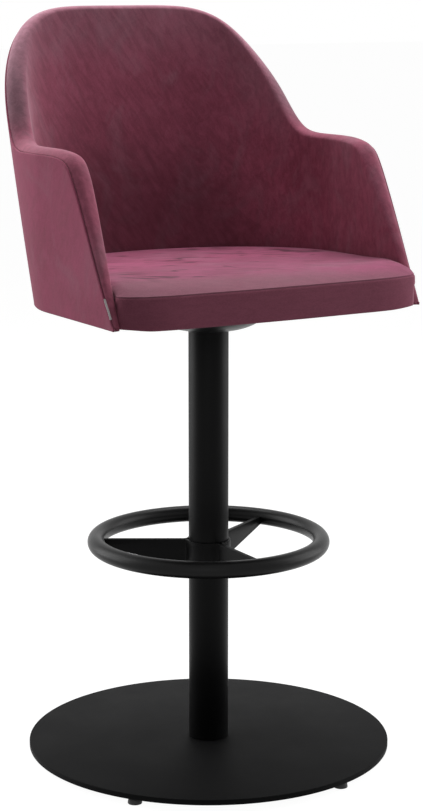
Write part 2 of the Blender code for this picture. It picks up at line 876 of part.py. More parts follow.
def trimmer_sections():
    """Closed sections of what the cushion is trimmed by: the lining grown by the gap."""
    sections = []
    below = Vector((0, 0, -overrun))
    for station in range(tub_stations + 1):
        wall = rim_frame(station)[3]
        outside = tub_station(station, lambda girth, height: -overrun, rows_up)
        inside = tub_station(station, lambda girth, height: tub_wall(girth, height) + gap, rows_down)
        sections.append([outside[0] + below] + outside + roll_points(station, wall, gap)[1:-1]
                        + inside + [inside[-1] + below])
    ahead = Vector((0, -2 * gap, 0))
    sections[0] = [point + ahead for point in sections[0]]
    return sections


def make_outer_panel():
    return as_part(tub_sheet("outer_panel", 0, outer_panel_thickness), swivel, outer_velvet)


def make_shell():
    shell = tub_sheet("tub_shell", shell_outer_depth, shell_thickness)
    for number, frame in enumerate(tub_screw_frames(), 1):
        cut(shell, tub_screw_solid(f"tub_screw_hole_{number}", frame, gap))
    return as_part(shell, swivel, shell_plastic)


def make_lining(board_cutter):
    lining = mirrored(loft("inner_upholstery", lining_sections(), closed_sections=True,
                           cap_first=True))
    cut(lining, board_cutter)
    return as_part(lining, swivel, inner_velvet)


# Tub screws

def tub_screw_frames():
    """Place and inward direction of each screw, on both sides."""
    height = board_thickness / 2
    frames = []
    for girth in tub_screw_girth_shares:
        outward = tub_outward(girth, height)
        inward = -Vector((outward.x, outward.y, 0)).normalized()
        head = tub_outside(girth, height) + inward * (shell_outer_depth + tub_screw_recess)
        for side in (1, -1):
            flip = Vector((side, 1, 1))
            frames.append((head * flip, inward * flip))
    return frames


def tub_screw_solid(name, frame, grow):
    """A countersunk screw, or with grow its hole, which also runs out past the head."""
    head, inward = frame
    length = tub_screw_length + grow
    neck = tub_screw_head_height
    start = -shell_thickness / 2 if grow else 0
    profile = [(0, length), (tub_screw_radius + grow, length), (tub_screw_radius + grow, neck)]
    profile += [(tub_screw_head_radius + grow, 0)]
    if grow:
        profile += [(tub_screw_head_radius + grow, start)]
    profile += [(0, start)]
    screw = lathe(name, profile, small_steps)
    screw.matrix_world = Matrix.Translation(head) @ inward.to_track_quat("Z", "Y").to_matrix().to_4x4()
    return screw


def make_tub_screws():
    for number, frame in enumerate(tub_screw_frames(), 1):
        screw = tub_screw_solid(f"tub_screw_{number}", frame, 0)
        turn = screw.rotation_euler.copy()
        place = screw.location.copy()
        as_part(screw, swivel, zinc, location=place)
        screw.rotation_euler = turn


# Seat board, dust cover and cushion

def front_outline(inset, steps):
    """The cushion's front edge drawn in by inset, from its middle to past the +X corner."""
    straight = cushion_half_width - cushion_corner_length
    length = cushion_corner_length - inset
    depth = cushion_corner_depth - inset
    front = cushion_front - inset
    edge = []
    for step in range(steps):
        share = step / steps
        edge.append((straight * share, -front - cushion_front_bow * (1 - share ** 2)))
    return edge + [(straight + length * x, depth * (1 + y) - front)
                   for x, y in arc((0, 0), 1, -math.pi / 2, 0, steps)]


def both_sides(half):
    """A closed outline from its +X half, which runs from the front's middle to the back's."""
    return half + [(-x, y) for x, y in reversed(half[1:-1])]


def board_outline(depth, grow):
    """Outline of the seat board: narrow between the arms' ends, and full behind them."""
    half_width = cushion_half_width - board_setback + grow
    outline = front_outline(board_setback - grow, small_steps // 3)
    shoulder = -tub_front + board_shoulder_setback - grow
    outline.append((half_width, shoulder))
    forward = (tub_back_centre - shoulder) / (tub_back_centre + tub_front)
    first_girth = mix(back_girth_share, 1, forward)
    feet = [1 - share for share in station_length_shares()]
    for girth in [first_girth] + [foot for foot in feet if foot < first_girth]:
        outward = tub_outward(girth, 0).xy.normalized()
        outline.append(tuple(tub_outside(girth, 0).xy - outward * depth))
    outline[-1] = (0, outline[-1][1])
    return both_sides(outline)


def make_board():
    board = flat_outline("seat_board", board_outline(shell_inner_depth + gap, 0),
                         board_height, board_top)
    spots = square_places(seat_bolt_spacing)
    barrel = seat_bolt_radius + gap + tee_nut_barrel_wall + gap
    cut(board, prism("tee_nut_barrel_cutter", barrel, board_height - overrun, board_top + overrun,
                     small_steps, spots))
    cut(board, prism("tee_nut_flange_cutter", tee_nut_flange_radius + gap,
                     board_top - tee_nut_flange_thickness - gap, board_top + overrun,
                     small_steps, spots))
    for number, frame in enumerate(tub_screw_frames(), 1):
        cut(board, tub_screw_solid(f"board_screw_hole_{number}", frame, gap))
    return as_part(board, swivel, plywood)


def make_board_cutters():
    """What the board takes out of the cushion, and out of the lining, whose foot it replaces."""
    low = board_height - cushion_band_below_board - overrun
    for_cushion = flat_outline("board_room_in_cushion", board_outline(shell_inner_depth, gap),
                               low, board_top + gap)
    inside_shell = shell_inner_depth - shell_thickness / 2
    for_lining = flat_outline("board_room_in_lining", board_outline(inside_shell, gap),
                              low, board_top + gap)
    return for_cushion, for_lining


def make_dust_cover():
    margin = shell_inner_depth + gap + dust_cover_margin
    cover = flat_outline("dust_cover", board_outline(margin, -dust_cover_margin),
                         dust_cover_top - dust_cover_thickness, dust_cover_top)
    cut(cover, prism("dust_cover_cutter", seat_bolt_radius + gap, dust_cover_top - overrun,
                     dust_cover_top + overrun, small_steps, square_places(seat_bolt_spacing)))
    cut(cover, prism("dust_cover_screw_cutter", cover_screw_radius + gap, dust_cover_top - overrun,
                     dust_cover_top + overrun, small_steps, cover_screw_places()))
    return as_part(cover, swivel, black_cloth)


def cushion_outline(shrink):
    """Outline of the cushion before the tub trims it, drawn in by shrink."""
    half_width = cushion_half_width - shrink
    outline = front_outline(shrink, small_steps * 2 // 3)
    wide = cushion_half_width + cushion_spread
    outline.append((half_width, -cushion_spread_start))
    outline.append((wide, -cushion_spread_end))
    outline.append((wide, mix(-cushion_spread_end, tub_back_centre, 0.5)))
    depth = cushion_back - tub_back_centre
    outline += [(wide * x, tub_back_centre + depth * y)
                for x, y in arc((0, 0), 1, 0, math.pi / 2, small_steps)]
    outline[-1] = (0, outline[-1][1])
    return both_sides(outline)


def cushion_top(x, y):
    """Height of the crowned top: it rises behind the front seam and sinks towards the back."""
    seam = board_height - cushion_band_below_board + cushion_band_height
    straight = cushion_half_width - cushion_corner_length
    turn = min(max((abs(x) - straight) / cushion_corner_length, 0), 1)
    corner = cushion_corner_depth * cushion_corner_rise_share * (1 - math.sqrt(1 - turn ** 2))
    start = cushion_front + cushion_front_bow - corner
    front_share = min(max((y + start) / cushion_rise_length, 0), 1)
    rear_share = min(max((y + cushion_summit) / (cushion_back + cushion_summit), 0), 1)
    rise = 1 - (1 - front_share) ** 2
    fall = 1 - (1 - rear_share) ** 2
    return seam + cushion_crown * rise * (1 - cushion_fall_share * fall)


def make_cushion(board_cutter):
    bottom = board_height - cushion_band_below_board
    seam = bottom + cushion_band_height
    roll = cushion_band_roll
    rings = [(bottom, roll), (bottom + roll, 0), (mix(bottom, seam, 0.5), cushion_band_draw_in),
             (seam - roll, 0)]
    sections = [[(x, y, height) for x, y in cushion_outline(shrink)] for height, shrink in rings]
    edge = cushion_outline(0)
    sections.append([(x, y, seam) for x, y in edge])
    for share in cushion_ring_shares:
        sections.append([(x * share, y * share, cushion_top(x * share, y * share))
                         for x, y in edge])
    # the rings run upwards, so each one is turned round to face outwards
    sections = [list(reversed(section)) for section in sections]
    cushion = loft("seat_cushion", sections, closed_sections=True, cap_first=True, cap_last=True)
    trimmer = mirrored(loft("cushion_trimmer", trimmer_sections(), closed_sections=True,
                            cap_first=True))
    cut(cushion, trimmer)
    cut(cushion, board_cutter)
    return as_part(cushion, swivel, seat_velvet)


def make_tab():
    """Plain folded tab that stands out of the seam near the -X arm's lower front corner."""
    step = slope_step_share
    low = rim_point(tab_rim_share - step)
    high = rim_point(tab_rim_share + step)
    flip = Vector((-1, 1, 1))
    upward = ((tub_outside(high.x, high.y) - tub_outside(low.x, low.y)) * flip).normalized()
    middle = rim_point(tab_rim_share)
    outward = (tub_outward(middle.x, middle.y) * flip).normalized()
    backward = upward.cross(outward).normalized()
    if backward.y < 0:
        backward.negate()
    place = tub_outside(middle.x, middle.y) * flip
    place += backward * (tab_width / 2) + outward * (gap + tab_thickness / 2)
    shape = bmesh.new()
    bmesh.ops.create_cube(shape, size=1)
    bmesh.ops.scale(shape, vec=(tab_width, tab_length, tab_thickness), verts=shape.verts)
    tab = from_bmesh("seam_tab", shape)
    edge = tab.modifiers.new("edge", "BEVEL")
    edge.width = tab_corner
    edge.segments = 1
    as_part(tab, swivel, grey_cloth, location=place)
    turn = Matrix((backward, upward, backward.cross(upward))).transposed()
    tab.rotation_euler = turn.to_euler()
    return tab


# Finishes: colour, roughness, metallic
black_coat = ((0.020, 0.020, 0.021), 0.45, 0.0)
black_satin = ((0.030, 0.030, 0.032), 0.38, 0.2)
zinc = ((0.62, 0.63, 0.64), 0.35, 1.0)
steel = ((0.48, 0.48, 0.49), 0.30, 1.0)
foot_plastic = ((0.018, 0.018, 0.018), 0.55, 0.0)
bush_plastic = ((0.82, 0.81, 0.76), 0.45, 0.0)
shell_plastic = ((0.05, 0.05, 0.05), 0.55, 0.0)
plywood = ((0.60, 0.44, 0.27), 0.65, 0.0)
black_cloth = ((0.02, 0.02, 0.02), 0.95, 0.0)
grey_cloth = ((0.42, 0.42, 0.43), 0.80, 0.0)
outer_velvet = ((0.24, 0.075, 0.115), 0.80, 0.0)
inner_velvet = ((0.17, 0.045, 0.075), 0.80, 0.0)
seat_velvet = ((0.32, 0.095, 0.16), 0.80, 0.0)


def stool_middle():
    """How far the middle of the whole stool lies behind the column's axis."""
    corner, outward, over, wall = rim_frame(tub_stations)
    rearmost = max(corner.y, max(point.y for point in roll_points(tub_stations, wall, 0)))
    return (rearmost - base_radius) / 2


remove_everything()
parts = new_collection("bar_stool")
cutters = new_collection("cutters")
stool = new_empty("stool")
swivel = new_empty("seat_swivel", parent=stool)

make_base_plate()
make_base_screws()
make_foot_plug()
make_column()
make_feet()
make_ring()
make_webs()
make_housing()
make_bushes()
make_thrust_bearing()
make_spindle()
make_seat_plate()
make_seat_bolts()
make_tee_nuts()
make_cover()
make_dust_cover()
make_board()
cushion_room, lining_room = make_board_cutters()
make_cushion(cushion_room)
make_shell()
make_tub_screws()
make_lining(lining_room)
make_outer_panel()
make_tab()

stool.location.y = -stool_middle()
for cutter in cutters.objects:
    as_cutter(cutter)
    cutter.location.y -= stool_middle()
bpy.context.view_layer.update()
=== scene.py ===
from math import atan2, copysign, cos, hypot, pi, radians, sin, sqrt

import bmesh
import bpy
import numpy as np
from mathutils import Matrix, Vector


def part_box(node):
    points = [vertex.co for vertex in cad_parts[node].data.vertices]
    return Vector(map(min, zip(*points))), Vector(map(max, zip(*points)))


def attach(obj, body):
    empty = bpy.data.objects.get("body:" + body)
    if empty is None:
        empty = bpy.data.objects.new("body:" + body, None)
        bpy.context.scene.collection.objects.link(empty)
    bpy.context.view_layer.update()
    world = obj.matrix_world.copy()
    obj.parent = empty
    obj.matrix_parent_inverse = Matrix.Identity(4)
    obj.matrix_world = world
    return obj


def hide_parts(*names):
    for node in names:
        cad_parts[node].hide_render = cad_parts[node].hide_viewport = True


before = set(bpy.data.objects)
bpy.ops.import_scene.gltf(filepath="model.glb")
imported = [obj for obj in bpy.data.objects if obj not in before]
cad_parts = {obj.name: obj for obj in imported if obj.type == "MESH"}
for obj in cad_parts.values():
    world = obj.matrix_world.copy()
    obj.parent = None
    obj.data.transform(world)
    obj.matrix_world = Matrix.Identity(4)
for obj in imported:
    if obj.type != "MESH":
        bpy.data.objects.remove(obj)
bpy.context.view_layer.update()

# Bar stool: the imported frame, dressed. Metres, floor at z = 0, seat front towards -Y.

columnLow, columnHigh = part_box("column_tube")
axisY = (columnLow.y + columnHigh.y) / 2      # the column's axis; its x is 0
print("frame loaded, column axis at y =", round(axisY, 6))


# Shader nodes

def setSockets(node, sockets):
    # a socket is linked where it is given another node's output, and set otherwise
    for key, value in sockets.items():
        if isinstance(value, bpy.types.NodeSocket):
            node.id_data.links.new(value, node.inputs[key])
        else:
            node.inputs[key].default_value = value


def addNode(kind, sockets, output=0, tree=None, **settings):
    # in the tree given, or else in that of the outputs it takes
    for value in sockets.values():
        if isinstance(value, bpy.types.NodeSocket):
            tree = value.id_data
    node = tree.nodes.new("ShaderNode" + kind)
    for key, value in settings.items():
        setattr(node, key, value)
    setSockets(node, sockets)
    return node.outputs[output]


def calculated(operation, *values):
    return addNode("Math", dict(enumerate(values)), operation=operation)


def addUp(*terms):
    # sum of (value, weight) terms
    total = 0
    for value, weight in terms:
        total = calculated("MULTIPLY_ADD", value, weight, total)
    return total


# Camera, lamps, world and floor

studio = {
    "cameraPlace": (-1.6074, -2.7954, 1.1662),
    "cameraTurn": (78.895, 0.0, -30.08),      # degrees
    "cameraBearing": -30,
    "lens": 97.22,
    "worldGrey": 0.12,                        # what the room sends onto the stool
    "floorSize": 60,
    "floorGrey": 0.30,                        # as the lamps and the stool see it
    "floorGlow": 0.965,                       # as the camera sees it, with a share of the shadows
    "floorShade": 0.14,
}
lamps = {
    # degrees to the right of the camera's bearing, distance, height, height aimed at, watts, size
    "leftSoftbox": (-104, 2.6, 1.10, 0.62, 62.0, (2.0, 2.6)),
    "rightSoftbox": (104, 2.6, 1.10, 0.62, 44.0, (2.0, 2.6)),
    "topSoftbox": (180, 0.8, 3.0, 0.9, 70.0, (1.9, 1.6)),
    "frontFill": (-4, 3.6, 1.5, 0.62, 7.4, (2.0, 2.0)),
}


def addCamera():
    bpy.ops.object.camera_add(location=studio["cameraPlace"],
                              rotation=[radians(a) for a in studio["cameraTurn"]])
    camera = bpy.context.object
    camera.data.lens = studio["lens"]
    camera.data.sensor_width = 36
    bpy.context.scene.camera = camera


def addLamp(name):
    azimuth, distance, height, aim, power, size = lamps[name]
    bearing = radians(studio["cameraBearing"] + azimuth)
    place = Vector((distance * sin(bearing), axisY - distance * cos(bearing), height))
    bpy.ops.object.light_add(type="AREA", location=place)
    lamp = bpy.context.object
    lamp.name = name
    lamp.rotation_euler = (Vector((0, axisY, aim)) - place).to_track_quat("-Z", "Y").to_euler()
    lamp.data.shape = "RECTANGLE"
    lamp.data.size, lamp.data.size_y = size
    lamp.data.energy = power


def seenApart(tree, light, seen, outNode):
    # one shader for light, and another where the camera, a reflection or a clear body shows it
    path = addNode("LightPath", {}, tree=tree).node.outputs
    either = calculated("MAXIMUM", path["Is Camera Ray"], path["Is Glossy Ray"])
    either = calculated("MAXIMUM", either, path["Is Transmission Ray"])
    shown = addNode("MixShader", {0: either, 1: light, 2: seen})
    setSockets(tree.nodes.new(outNode), {"Surface": shown})


def setWorld():
    world = bpy.data.worlds.new("paleRoom")
    bpy.context.scene.world = world
    world.use_nodes = True
    tree = world.node_tree
    tree.nodes.clear()
    light, white = (addNode("Background", {"Color": (1, 1, 1, 1), "Strength": strength}, tree=tree)
                    for strength in (studio["worldGrey"], 1))
    seenApart(tree, light, white, "ShaderNodeOutputWorld")


def addFloor():
    bpy.ops.mesh.primitive_plane_add(size=studio["floorSize"], location=(0, 0, 0))
    floor = bpy.context.object
    floor.name = "paleFloor"
    paint = bpy.data.materials.new("paleFloorPaint")
    paint.use_nodes = True
    tree = paint.node_tree
    tree.nodes.clear()
    plain, faint = (addNode("BsdfDiffuse", {"Color": (grey, grey, grey, 1)}, tree=tree)
                    for grey in (studio["floorGrey"], studio["floorShade"]))
    glow = addNode("Emission", {"Strength": studio["floorGlow"]}, tree=tree)
    seenApart(tree, plain, addNode("AddShader", {0: glow, 1: faint}), "ShaderNodeOutputMaterial")
    floor.data.materials.append(paint)


addCamera()
setWorld()
addFloor()
for lampName in lamps:
    addLamp(lampName)
bpy.context.scene.view_settings.view_transform = "Standard"
print("studio set")


# Materials. A noise is (scale, detail, roughness, distortion), a turn is in degrees.

def newMaterial(name):
    # with its shader, and the place on the object that its patterns read
    material = bpy.data.materials.new(name)
    material.use_nodes = True
    tree = material.node_tree
    return material, tree.nodes["Principled BSDF"], addNode("TexCoord", {}, "Object", tree)


def addNoise(where, noise, stretch=None, turn=(0, 0, 0)):
    # a pattern, stretched along its own axes, which turn with it
    if stretch:
        where = addNode("Mapping", {"Vector": where, "Scale": [1 / s for s in stretch],
                                    "Rotation": [radians(a) for a in turn]}, vector_type="TEXTURE")
    measures = dict(zip(("Scale", "Detail", "Roughness", "Distortion"), noise))
    return addNode("TexNoise", {"Vector": where, **measures}, "Fac")


def spread(value, low, high, toLow=0.0, toHigh=1.0):
    # spread the part of a value between low and high over a new range
    return addNode("MapRange", {"Value": value, "From Min": low, "From Max": high, "To Min": toLow,
                                "To Max": toHigh}, "Result", interpolation_type="SMOOTHSTEP")


def blendColours(factor, first, second):
    ends = {key: (*colour, 1) if isinstance(colour, tuple) else colour
            for key, colour in (("A", first), ("B", second))}
    return addNode("Mix", {"Factor": factor, **ends}, "Result", data_type="RGBA")


def shadedBy(colour, *shades):
    for shade in shades:
        colour = addNode("VectorMath", {0: colour, "Scale": shade}, operation="SCALE")
    return colour


def bumpFrom(height, distance, strength):
    return addNode("Bump", {"Height": height, "Distance": distance, "Strength": strength})


velvets = {
    # deep and full: nap that lies with and against the light, grey: nap brushed across it
    # strokes: the fine brush marks' noise, stretch, turn and depth
    "velvetOuter": {"deep": (0.238, 0.052, 0.090), "full": (0.312, 0.073, 0.127),
                    "grey": (0.285, 0.088, 0.134), "sheen": 0.22, "along": (1.0, 1.0, 0.62),
                    "strokes": ((170.0, 3.0, 0.6, 0.5), (1.0, 1.0, 0.30), (20, 12, 0), 0.045)},
    "velvetInner": {"deep": (0.255, 0.066, 0.104), "full": (0.332, 0.092, 0.144),
                    "grey": (0.300, 0.112, 0.156), "sheen": 0.26, "along": (1.0, 1.0, 0.62),
                    "strokes": ((120.0, 3.0, 0.6, 0.5), (1.0, 1.0, 0.20), (0, -32, 0), 0.115)},
    "velvetSeat": {"deep": (0.246, 0.058, 0.109), "full": (0.325, 0.082, 0.156),
                   "grey": (0.296, 0.100, 0.160), "sheen": 0.22, "along": (0.55, 1.0, 1.0),
                   "strokes": ((150.0, 3.0, 0.6, 0.5), (0.30, 1.0, 1.0), (0, 0, -10), 0.050)},
}
pile = {
    # what the three velvets share
    "clouds": (7.0, 3.0, 0.5, 0.3), "brushed": (48.0, 5.0, 0.60, 0.9), "brushedTurn": (24, 22, 16),
    "fibres": (700.0, 3.0, 0.6), "fibreShade": (0.92, 1.06),
    "greyer": (16.0, 5.0, 0.62, 0.8), "greyerTurn": (-10, 12, -18),
    "greyerSpread": (0.46, 0.68, 0.0, 0.8),
    "roughness": (0.78, 0.95), "specular": 0.10, "sheenRoughness": 0.40,
    "sheenTint": (1.0, 0.82, 0.88, 1), "bumpDistance": 0.0008, "bump": 0.30,
}
crushed = {
    # pressed marks on the seat's top, which end before its front roll; and painted light, the top
    # lighter towards the rear
    "marks": ((66.0, 3.0, 0.55, 0.8), (0.24, 1.0, 1.0), (0, 0, -24)),
    "creases": ((15.0, 2.0, 0.5, 0.6), (0.32, 1.0, 1.0), (0, 0, -32)),
    "breaks": ((34.0, 2.0, 0.5), (0.6, 1.0, 1.0)), "breakSpread": (0.42, 0.54),
    "spread": (0.50, 0.61, 0.0, 0.20), "creaseSpread": (0.0, 0.032, 0.62, 0.0),
    "front": (-0.165, -0.135), "rearwards": (-0.07, 0.07), "rearPaintedLight": 1.34,
}
seatSheenAndBandLight = {
    # painted sheen: a greyer colour over the seat's front, up to a line that slants across it; painted
    # light: a lighter, greyer colour down its band
    "roll": (0.238, 0.098, 0.131), "slant": 0.12, "rollReach": (-0.186, -0.140), "rollShare": 0.85,
    "bandPaintedLight": (0.300, 0.086, 0.132), "bandTop": (0.7355, 0.7375), "bandShare": 0.85,
}
rimSheenGrey = (0.300, 0.168, 0.208)            # painted sheen: the greyer colour over the back's rim


def makeVelvet(name):
    look = velvets[name]
    material, shader, place = newMaterial(name)
    along = look["along"]
    clouds = addNoise(place, pile["clouds"])
    brushed = addNoise(place, pile["brushed"], along, pile["brushedTurn"])
    fibres = addNoise(place, pile["fibres"], along)
    greyer = addNoise(place, pile["greyer"], along, pile["greyerTurn"])
    *strokes, strokeDepth = look["strokes"]
    strokes = addNoise(place, *strokes)
    depth = addUp((clouds, 0.5), (brushed, 0.5))
    colour = blendColours(spread(depth, 0.34, 0.66), look["deep"], look["full"])
    colour = blendColours(spread(greyer, *pile["greyerSpread"]), colour, look["grey"])
    shades = [spread(fibres, 0.3, 0.7, *pile["fibreShade"]),
              spread(strokes, 0.32, 0.68, 1 - strokeDepth, 1 + strokeDepth)]
    if name == "velvetSeat":
        # the seat's painted sheen and painted light, with its pressed marks
        colour, marks = seatLightSheenAndMarks(place, colour)
        shades += marks
    if name == "velvetInner":
        # painted light and shade over the rim and down the inside, darker at its foot, and painted
        # sheen greying the rim, as measured when the cover is made
        light, grey = (addNode("Attribute", {}, "Fac", place.id_data, attribute_name=layer)
                       for layer in ("paintedLight", "paintedSheen"))
        colour = blendColours(grey, colour, rimSheenGrey)
        shades.append(light)
    height = addUp((fibres, 0.2), (brushed, 0.5), (strokes, 0.3))
    setSockets(shader, {
        "Base Color": shadedBy(colour, *shades),
        "Roughness": spread(brushed, 0.3, 0.7, *pile["roughness"]),
        "Specular IOR Level": pile["specular"], "Sheen Weight": look["sheen"],
        "Sheen Roughness": pile["sheenRoughness"], "Sheen Tint": pile["sheenTint"],
        "Normal": bumpFrom(height, pile["bumpDistance"], pile["bump"])})
    return material


def behindAxis(reach):
    return [axisY + distance for distance in reach]


def seatLightSheenAndMarks(place, colour):
    # the seat's colour, with painted sheen greying its front roll and painted light on its band, and
    # the shades of its top from front to back: pressed marks, and painted light lighter towards the
    # rear
    x, y, z = addNode("SeparateXYZ", {0: place}).node.outputs
    look = seatSheenAndBandLight
    slanting = addUp((y, 1.0), (x, look["slant"]))
    # painted sheen over the front roll
    roll = spread(slanting, *behindAxis(look["rollReach"]), look["rollShare"], 0.0)
    colour = blendColours(roll, colour, look["roll"])
    # painted light down the band
    bandPaintedLight = spread(z, *look["bandTop"], look["bandShare"], 0.0)
    colour = blendColours(bandPaintedLight, colour, look["bandPaintedLight"])
    # painted light: the seat's colour lighter towards the rear
    rearPaintedLight = spread(y, *behindAxis(crushed["rearwards"]), 1.0, crushed["rearPaintedLight"])
    return colour, [crushedMarks(place, y), rearPaintedLight]


def crushedMarks(place, y):
    # short dark marks where the nap has been pressed, and broken, wavy creases where a slow
    # pattern passes its middle
    look = crushed
    marks, waves, breaks = (addNoise(place, *look[key])
                            for key in ("marks", "creases", "breaks"))
    fromMiddle = calculated("ABSOLUTE", calculated("SUBTRACT", waves, 0.5))
    crease = calculated("MULTIPLY", spread(fromMiddle, *look["creaseSpread"]),
                        spread(breaks, *look["breakSpread"]))
    pressed = addUp((spread(marks, *look["spread"]), 1.0), (crease, 1.0))
    behind = spread(y, *behindAxis(look["front"]))
    return calculated("SUBTRACT", 1.0, calculated("MULTIPLY", pressed, behind))


coatings = {
    # colour, roughness, specular, metallic, scale of the grain, bump
    "blackCoat": ((0.0040, 0.0040, 0.0042), 0.40, 0.07, 0.0, 1400.0, 0.16),
    "blackPlate": ((0.0042, 0.0042, 0.0044), 0.60, 0.045, 0.0, 1100.0, 0.20),
    "ringCoat": ((0.0068, 0.0068, 0.0070), 0.34, 0.135, 0.0, 1400.0, 0.16),
    "blackSatin": ((0.011, 0.011, 0.012), 0.36, 0.30, 0.35, 900.0, 0.10),
    "zincPlate": ((0.60, 0.61, 0.62), 0.36, 0.5, 1.0, 500.0, 0.08),
    "turnedSteel": ((0.46, 0.46, 0.47), 0.30, 0.5, 1.0, 700.0, 0.08),
    "blackFoot": ((0.016, 0.016, 0.016), 0.52, 0.35, 0.0, 1800.0, 0.12),
    "paleBush": ((0.80, 0.79, 0.74), 0.45, 0.4, 0.0, 600.0, 0.06),
    "shellMoulding": ((0.045, 0.045, 0.047), 0.55, 0.35, 0.0, 1100.0, 0.14),
}
unevenness = {"haze": (11.0, 4.0, 0.6), "darker": 0.82, "lighter": 1.16, "glossier": -0.03,
              "duller": 0.05, "bumpDistance": 0.0004}


def makeCoated(name):
    # a coated or plated finish: fine grain, a little unevenness in colour and gloss
    colour, rough, specular, metallic, grainScale, bump = coatings[name]
    material, shader, place = newMaterial(name)
    grain = addNoise(place, (grainScale, 2.0, 0.5))
    haze = addNoise(place, unevenness["haze"])
    darker, lighter = (tuple(unevenness[key] * c for c in colour) for key in ("darker", "lighter"))
    setSockets(shader, {
        "Base Color": blendColours(spread(haze, 0.3, 0.7), darker, lighter),
        "Roughness": spread(haze, 0.25, 0.75, rough + unevenness["glossier"],
                            rough + unevenness["duller"]),
        "Metallic": metallic, "Specular IOR Level": specular,
        "Normal": bumpFrom(grain, unevenness["bumpDistance"], bump)})
    return material


birch = {"grain": ((6.0, 5.0, 0.6, 0.6), (3.0, 42.0, 3.0)), "dark": (0.46, 0.31, 0.17),
         "light": (0.66, 0.50, 0.32), "plies": 105.0, "plyWave": 0.6, "plyShade": (0.72, 1.0),
         "roughness": (0.55, 0.72), "sheen": 0.0, "bumpDistance": 0.0003, "bump": 0.3}
lining = {"fibres": ((700.0, 3.0, 0.65), (1.0, 3.0, 1.0), (0, 0, 35)), "dots": 620.0,
          "dotSpread": 0.15, "dark": (0.010, 0.010, 0.011), "light": (0.030, 0.030, 0.031),
          "roughness": (0.80, 0.96), "sheen": 0.15, "bumpDistance": 0.0004, "bump": 0.5}
ribbonCloth = {"ribs": 900.0, "specks": (1500.0, 2.0, 0.5), "dark": (0.31, 0.285, 0.29),
               "light": (0.47, 0.44, 0.445), "roughness": (0.36, 0.50), "sheen": 0.3,
               "bumpDistance": 0.0002, "bump": 0.4}


def dressed(shader, look, pattern, height, *shades):
    # colour and gloss that follow one pattern, over a height
    colour = blendColours(spread(pattern, 0.3, 0.7), look["dark"], look["light"])
    setSockets(shader, {
        "Base Color": shadedBy(colour, *shades),
        "Roughness": spread(pattern, 0.3, 0.7, *look["roughness"]),
        "Sheen Weight": look["sheen"],
        "Normal": bumpFrom(height, look["bumpDistance"], look["bump"])})


def makePlywood():
    material, shader, place = newMaterial("birchPly")
    grain = addNoise(place, *birch["grain"])
    plies = addNode("TexWave", {"Vector": place, "Scale": birch["plies"],
                                "Distortion": birch["plyWave"]}, "Fac", bands_direction="Z")
    dressed(shader, birch, grain, grain, spread(plies, 0.2, 0.8, *birch["plyShade"]))
    return material


def makeLiningCloth():
    # black non-woven cloth under the seat: pressed fibres with a fine dimpled grid
    material, shader, place = newMaterial("blackLiningCloth")
    fibres = addNoise(place, *lining["fibres"])
    dots = addNode("TexVoronoi", {"Vector": place, "Scale": lining["dots"],
                                  "Randomness": lining["dotSpread"]}, "Distance")
    dressed(shader, lining, fibres, addUp((dots, 0.8), (fibres, 0.3)))
    return material


def makeRibbonCloth():
    # grey satin ribbon with a fine rib across it
    material, shader, place = newMaterial("greyRibbon")
    ribs = addNode("TexWave", {"Vector": place, "Scale": ribbonCloth["ribs"]}, "Fac",
                   bands_direction="Z")
    specks = addNoise(place, ribbonCloth["specks"])
    dressed(shader, ribbonCloth, specks, ribs)
    return material


finishes = {name: makeVelvet(name) for name in velvets}
finishes.update({name: makeCoated(name) for name in coatings})
finishes["birchPly"] = makePlywood()
finishes["blackLiningCloth"] = makeLiningCloth()
finishes["greyRibbon"] = makeRibbonCloth()
print("materials made:", len(finishes))

nodeFinishes = {
    # the starts of the nodes' names that take each finish
    "blackCoat": ("column_tube", "footrest_ring", "footrest_web", "seat_plate"),
    "zincPlate": ("base_screw", "foot_stud", "spindle_washer", "spindle_nut", "seat_bolt",
                  "seat_tee_nut", "cover_screw", "tub_screw"),
    "turnedSteel": ("column_foot_plug", "swivel_housing", "thrust", "swivel_spindle"),
    "blackPlate": "base_plate", "blackSatin": "swivel_cover", "blackFoot": "foot_pad",
    "paleBush": "swivel_bush", "shellMoulding": "tub_shell", "blackLiningCloth": "dust_cover",
    "birchPly": "seat_board", "velvetOuter": "outer_panel", "velvetInner": "inner_upholstery",
    "velvetSeat": "seat_cushion", "greyRibbon": "seam_tab",
}
for nodeName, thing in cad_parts.items():
    finish, = (name for name, starts in nodeFinishes.items() if nodeName.startswith(starts))
    thing.data.materials.clear()
    thing.data.materials.append(finishes[finish])
print("frame nodes painted")


# Work on one piece at a time

def only(thing):
    bpy.ops.object.select_all(action="DESELECT")
    bpy.context.view_layer.objects.active = thing
    thing.select_set(True)


def applyModifiers(thing):
    only(thing)
    for modifier in list(thing.modifiers):
        bpy.ops.object.modifier_apply(modifier=modifier.name)


def cutAway(thing, cutter):
    hole = thing.modifiers.new("hole", "BOOLEAN")
    hole.operation = "DIFFERENCE"
    hole.solver = "EXACT"
    hole.object = cutter
    applyModifiers(thing)
    bpy.data.objects.remove(cutter)


def linked(name, mesh):
    thing = bpy.data.objects.new(name, mesh)
    bpy.context.scene.collection.objects.link(thing)
    return thing


def pieceFrom(shape, name, smooth=True):
    bmesh.ops.recalc_face_normals(shape, faces=shape.faces)
    mesh = bpy.data.meshes.new(name)
    shape.to_mesh(mesh)
    shape.free()
    mesh.polygons.foreach_set("use_smooth", [smooth] * len(mesh.polygons))
    return linked(name, mesh)


def handOver(thing, finish, body, node):
    # its finish, and what it stands for and rides on in the frame
    thing.data.materials.clear()
    thing.data.materials.append(finishes[finish])
    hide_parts(node)
    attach(thing, body)
    print(thing.name + ":", len(thing.data.polygons), "faces")


def mix(first, second, share):
    return first + (second - first) * share


def smoothed(share):
    return share * share * (3 - 2 * share)


def eased(value, low, high):
    return smoothed(np.clip((value - low) / (high - low), 0, 1))


# The tub's surface, in the same terms as the frame's

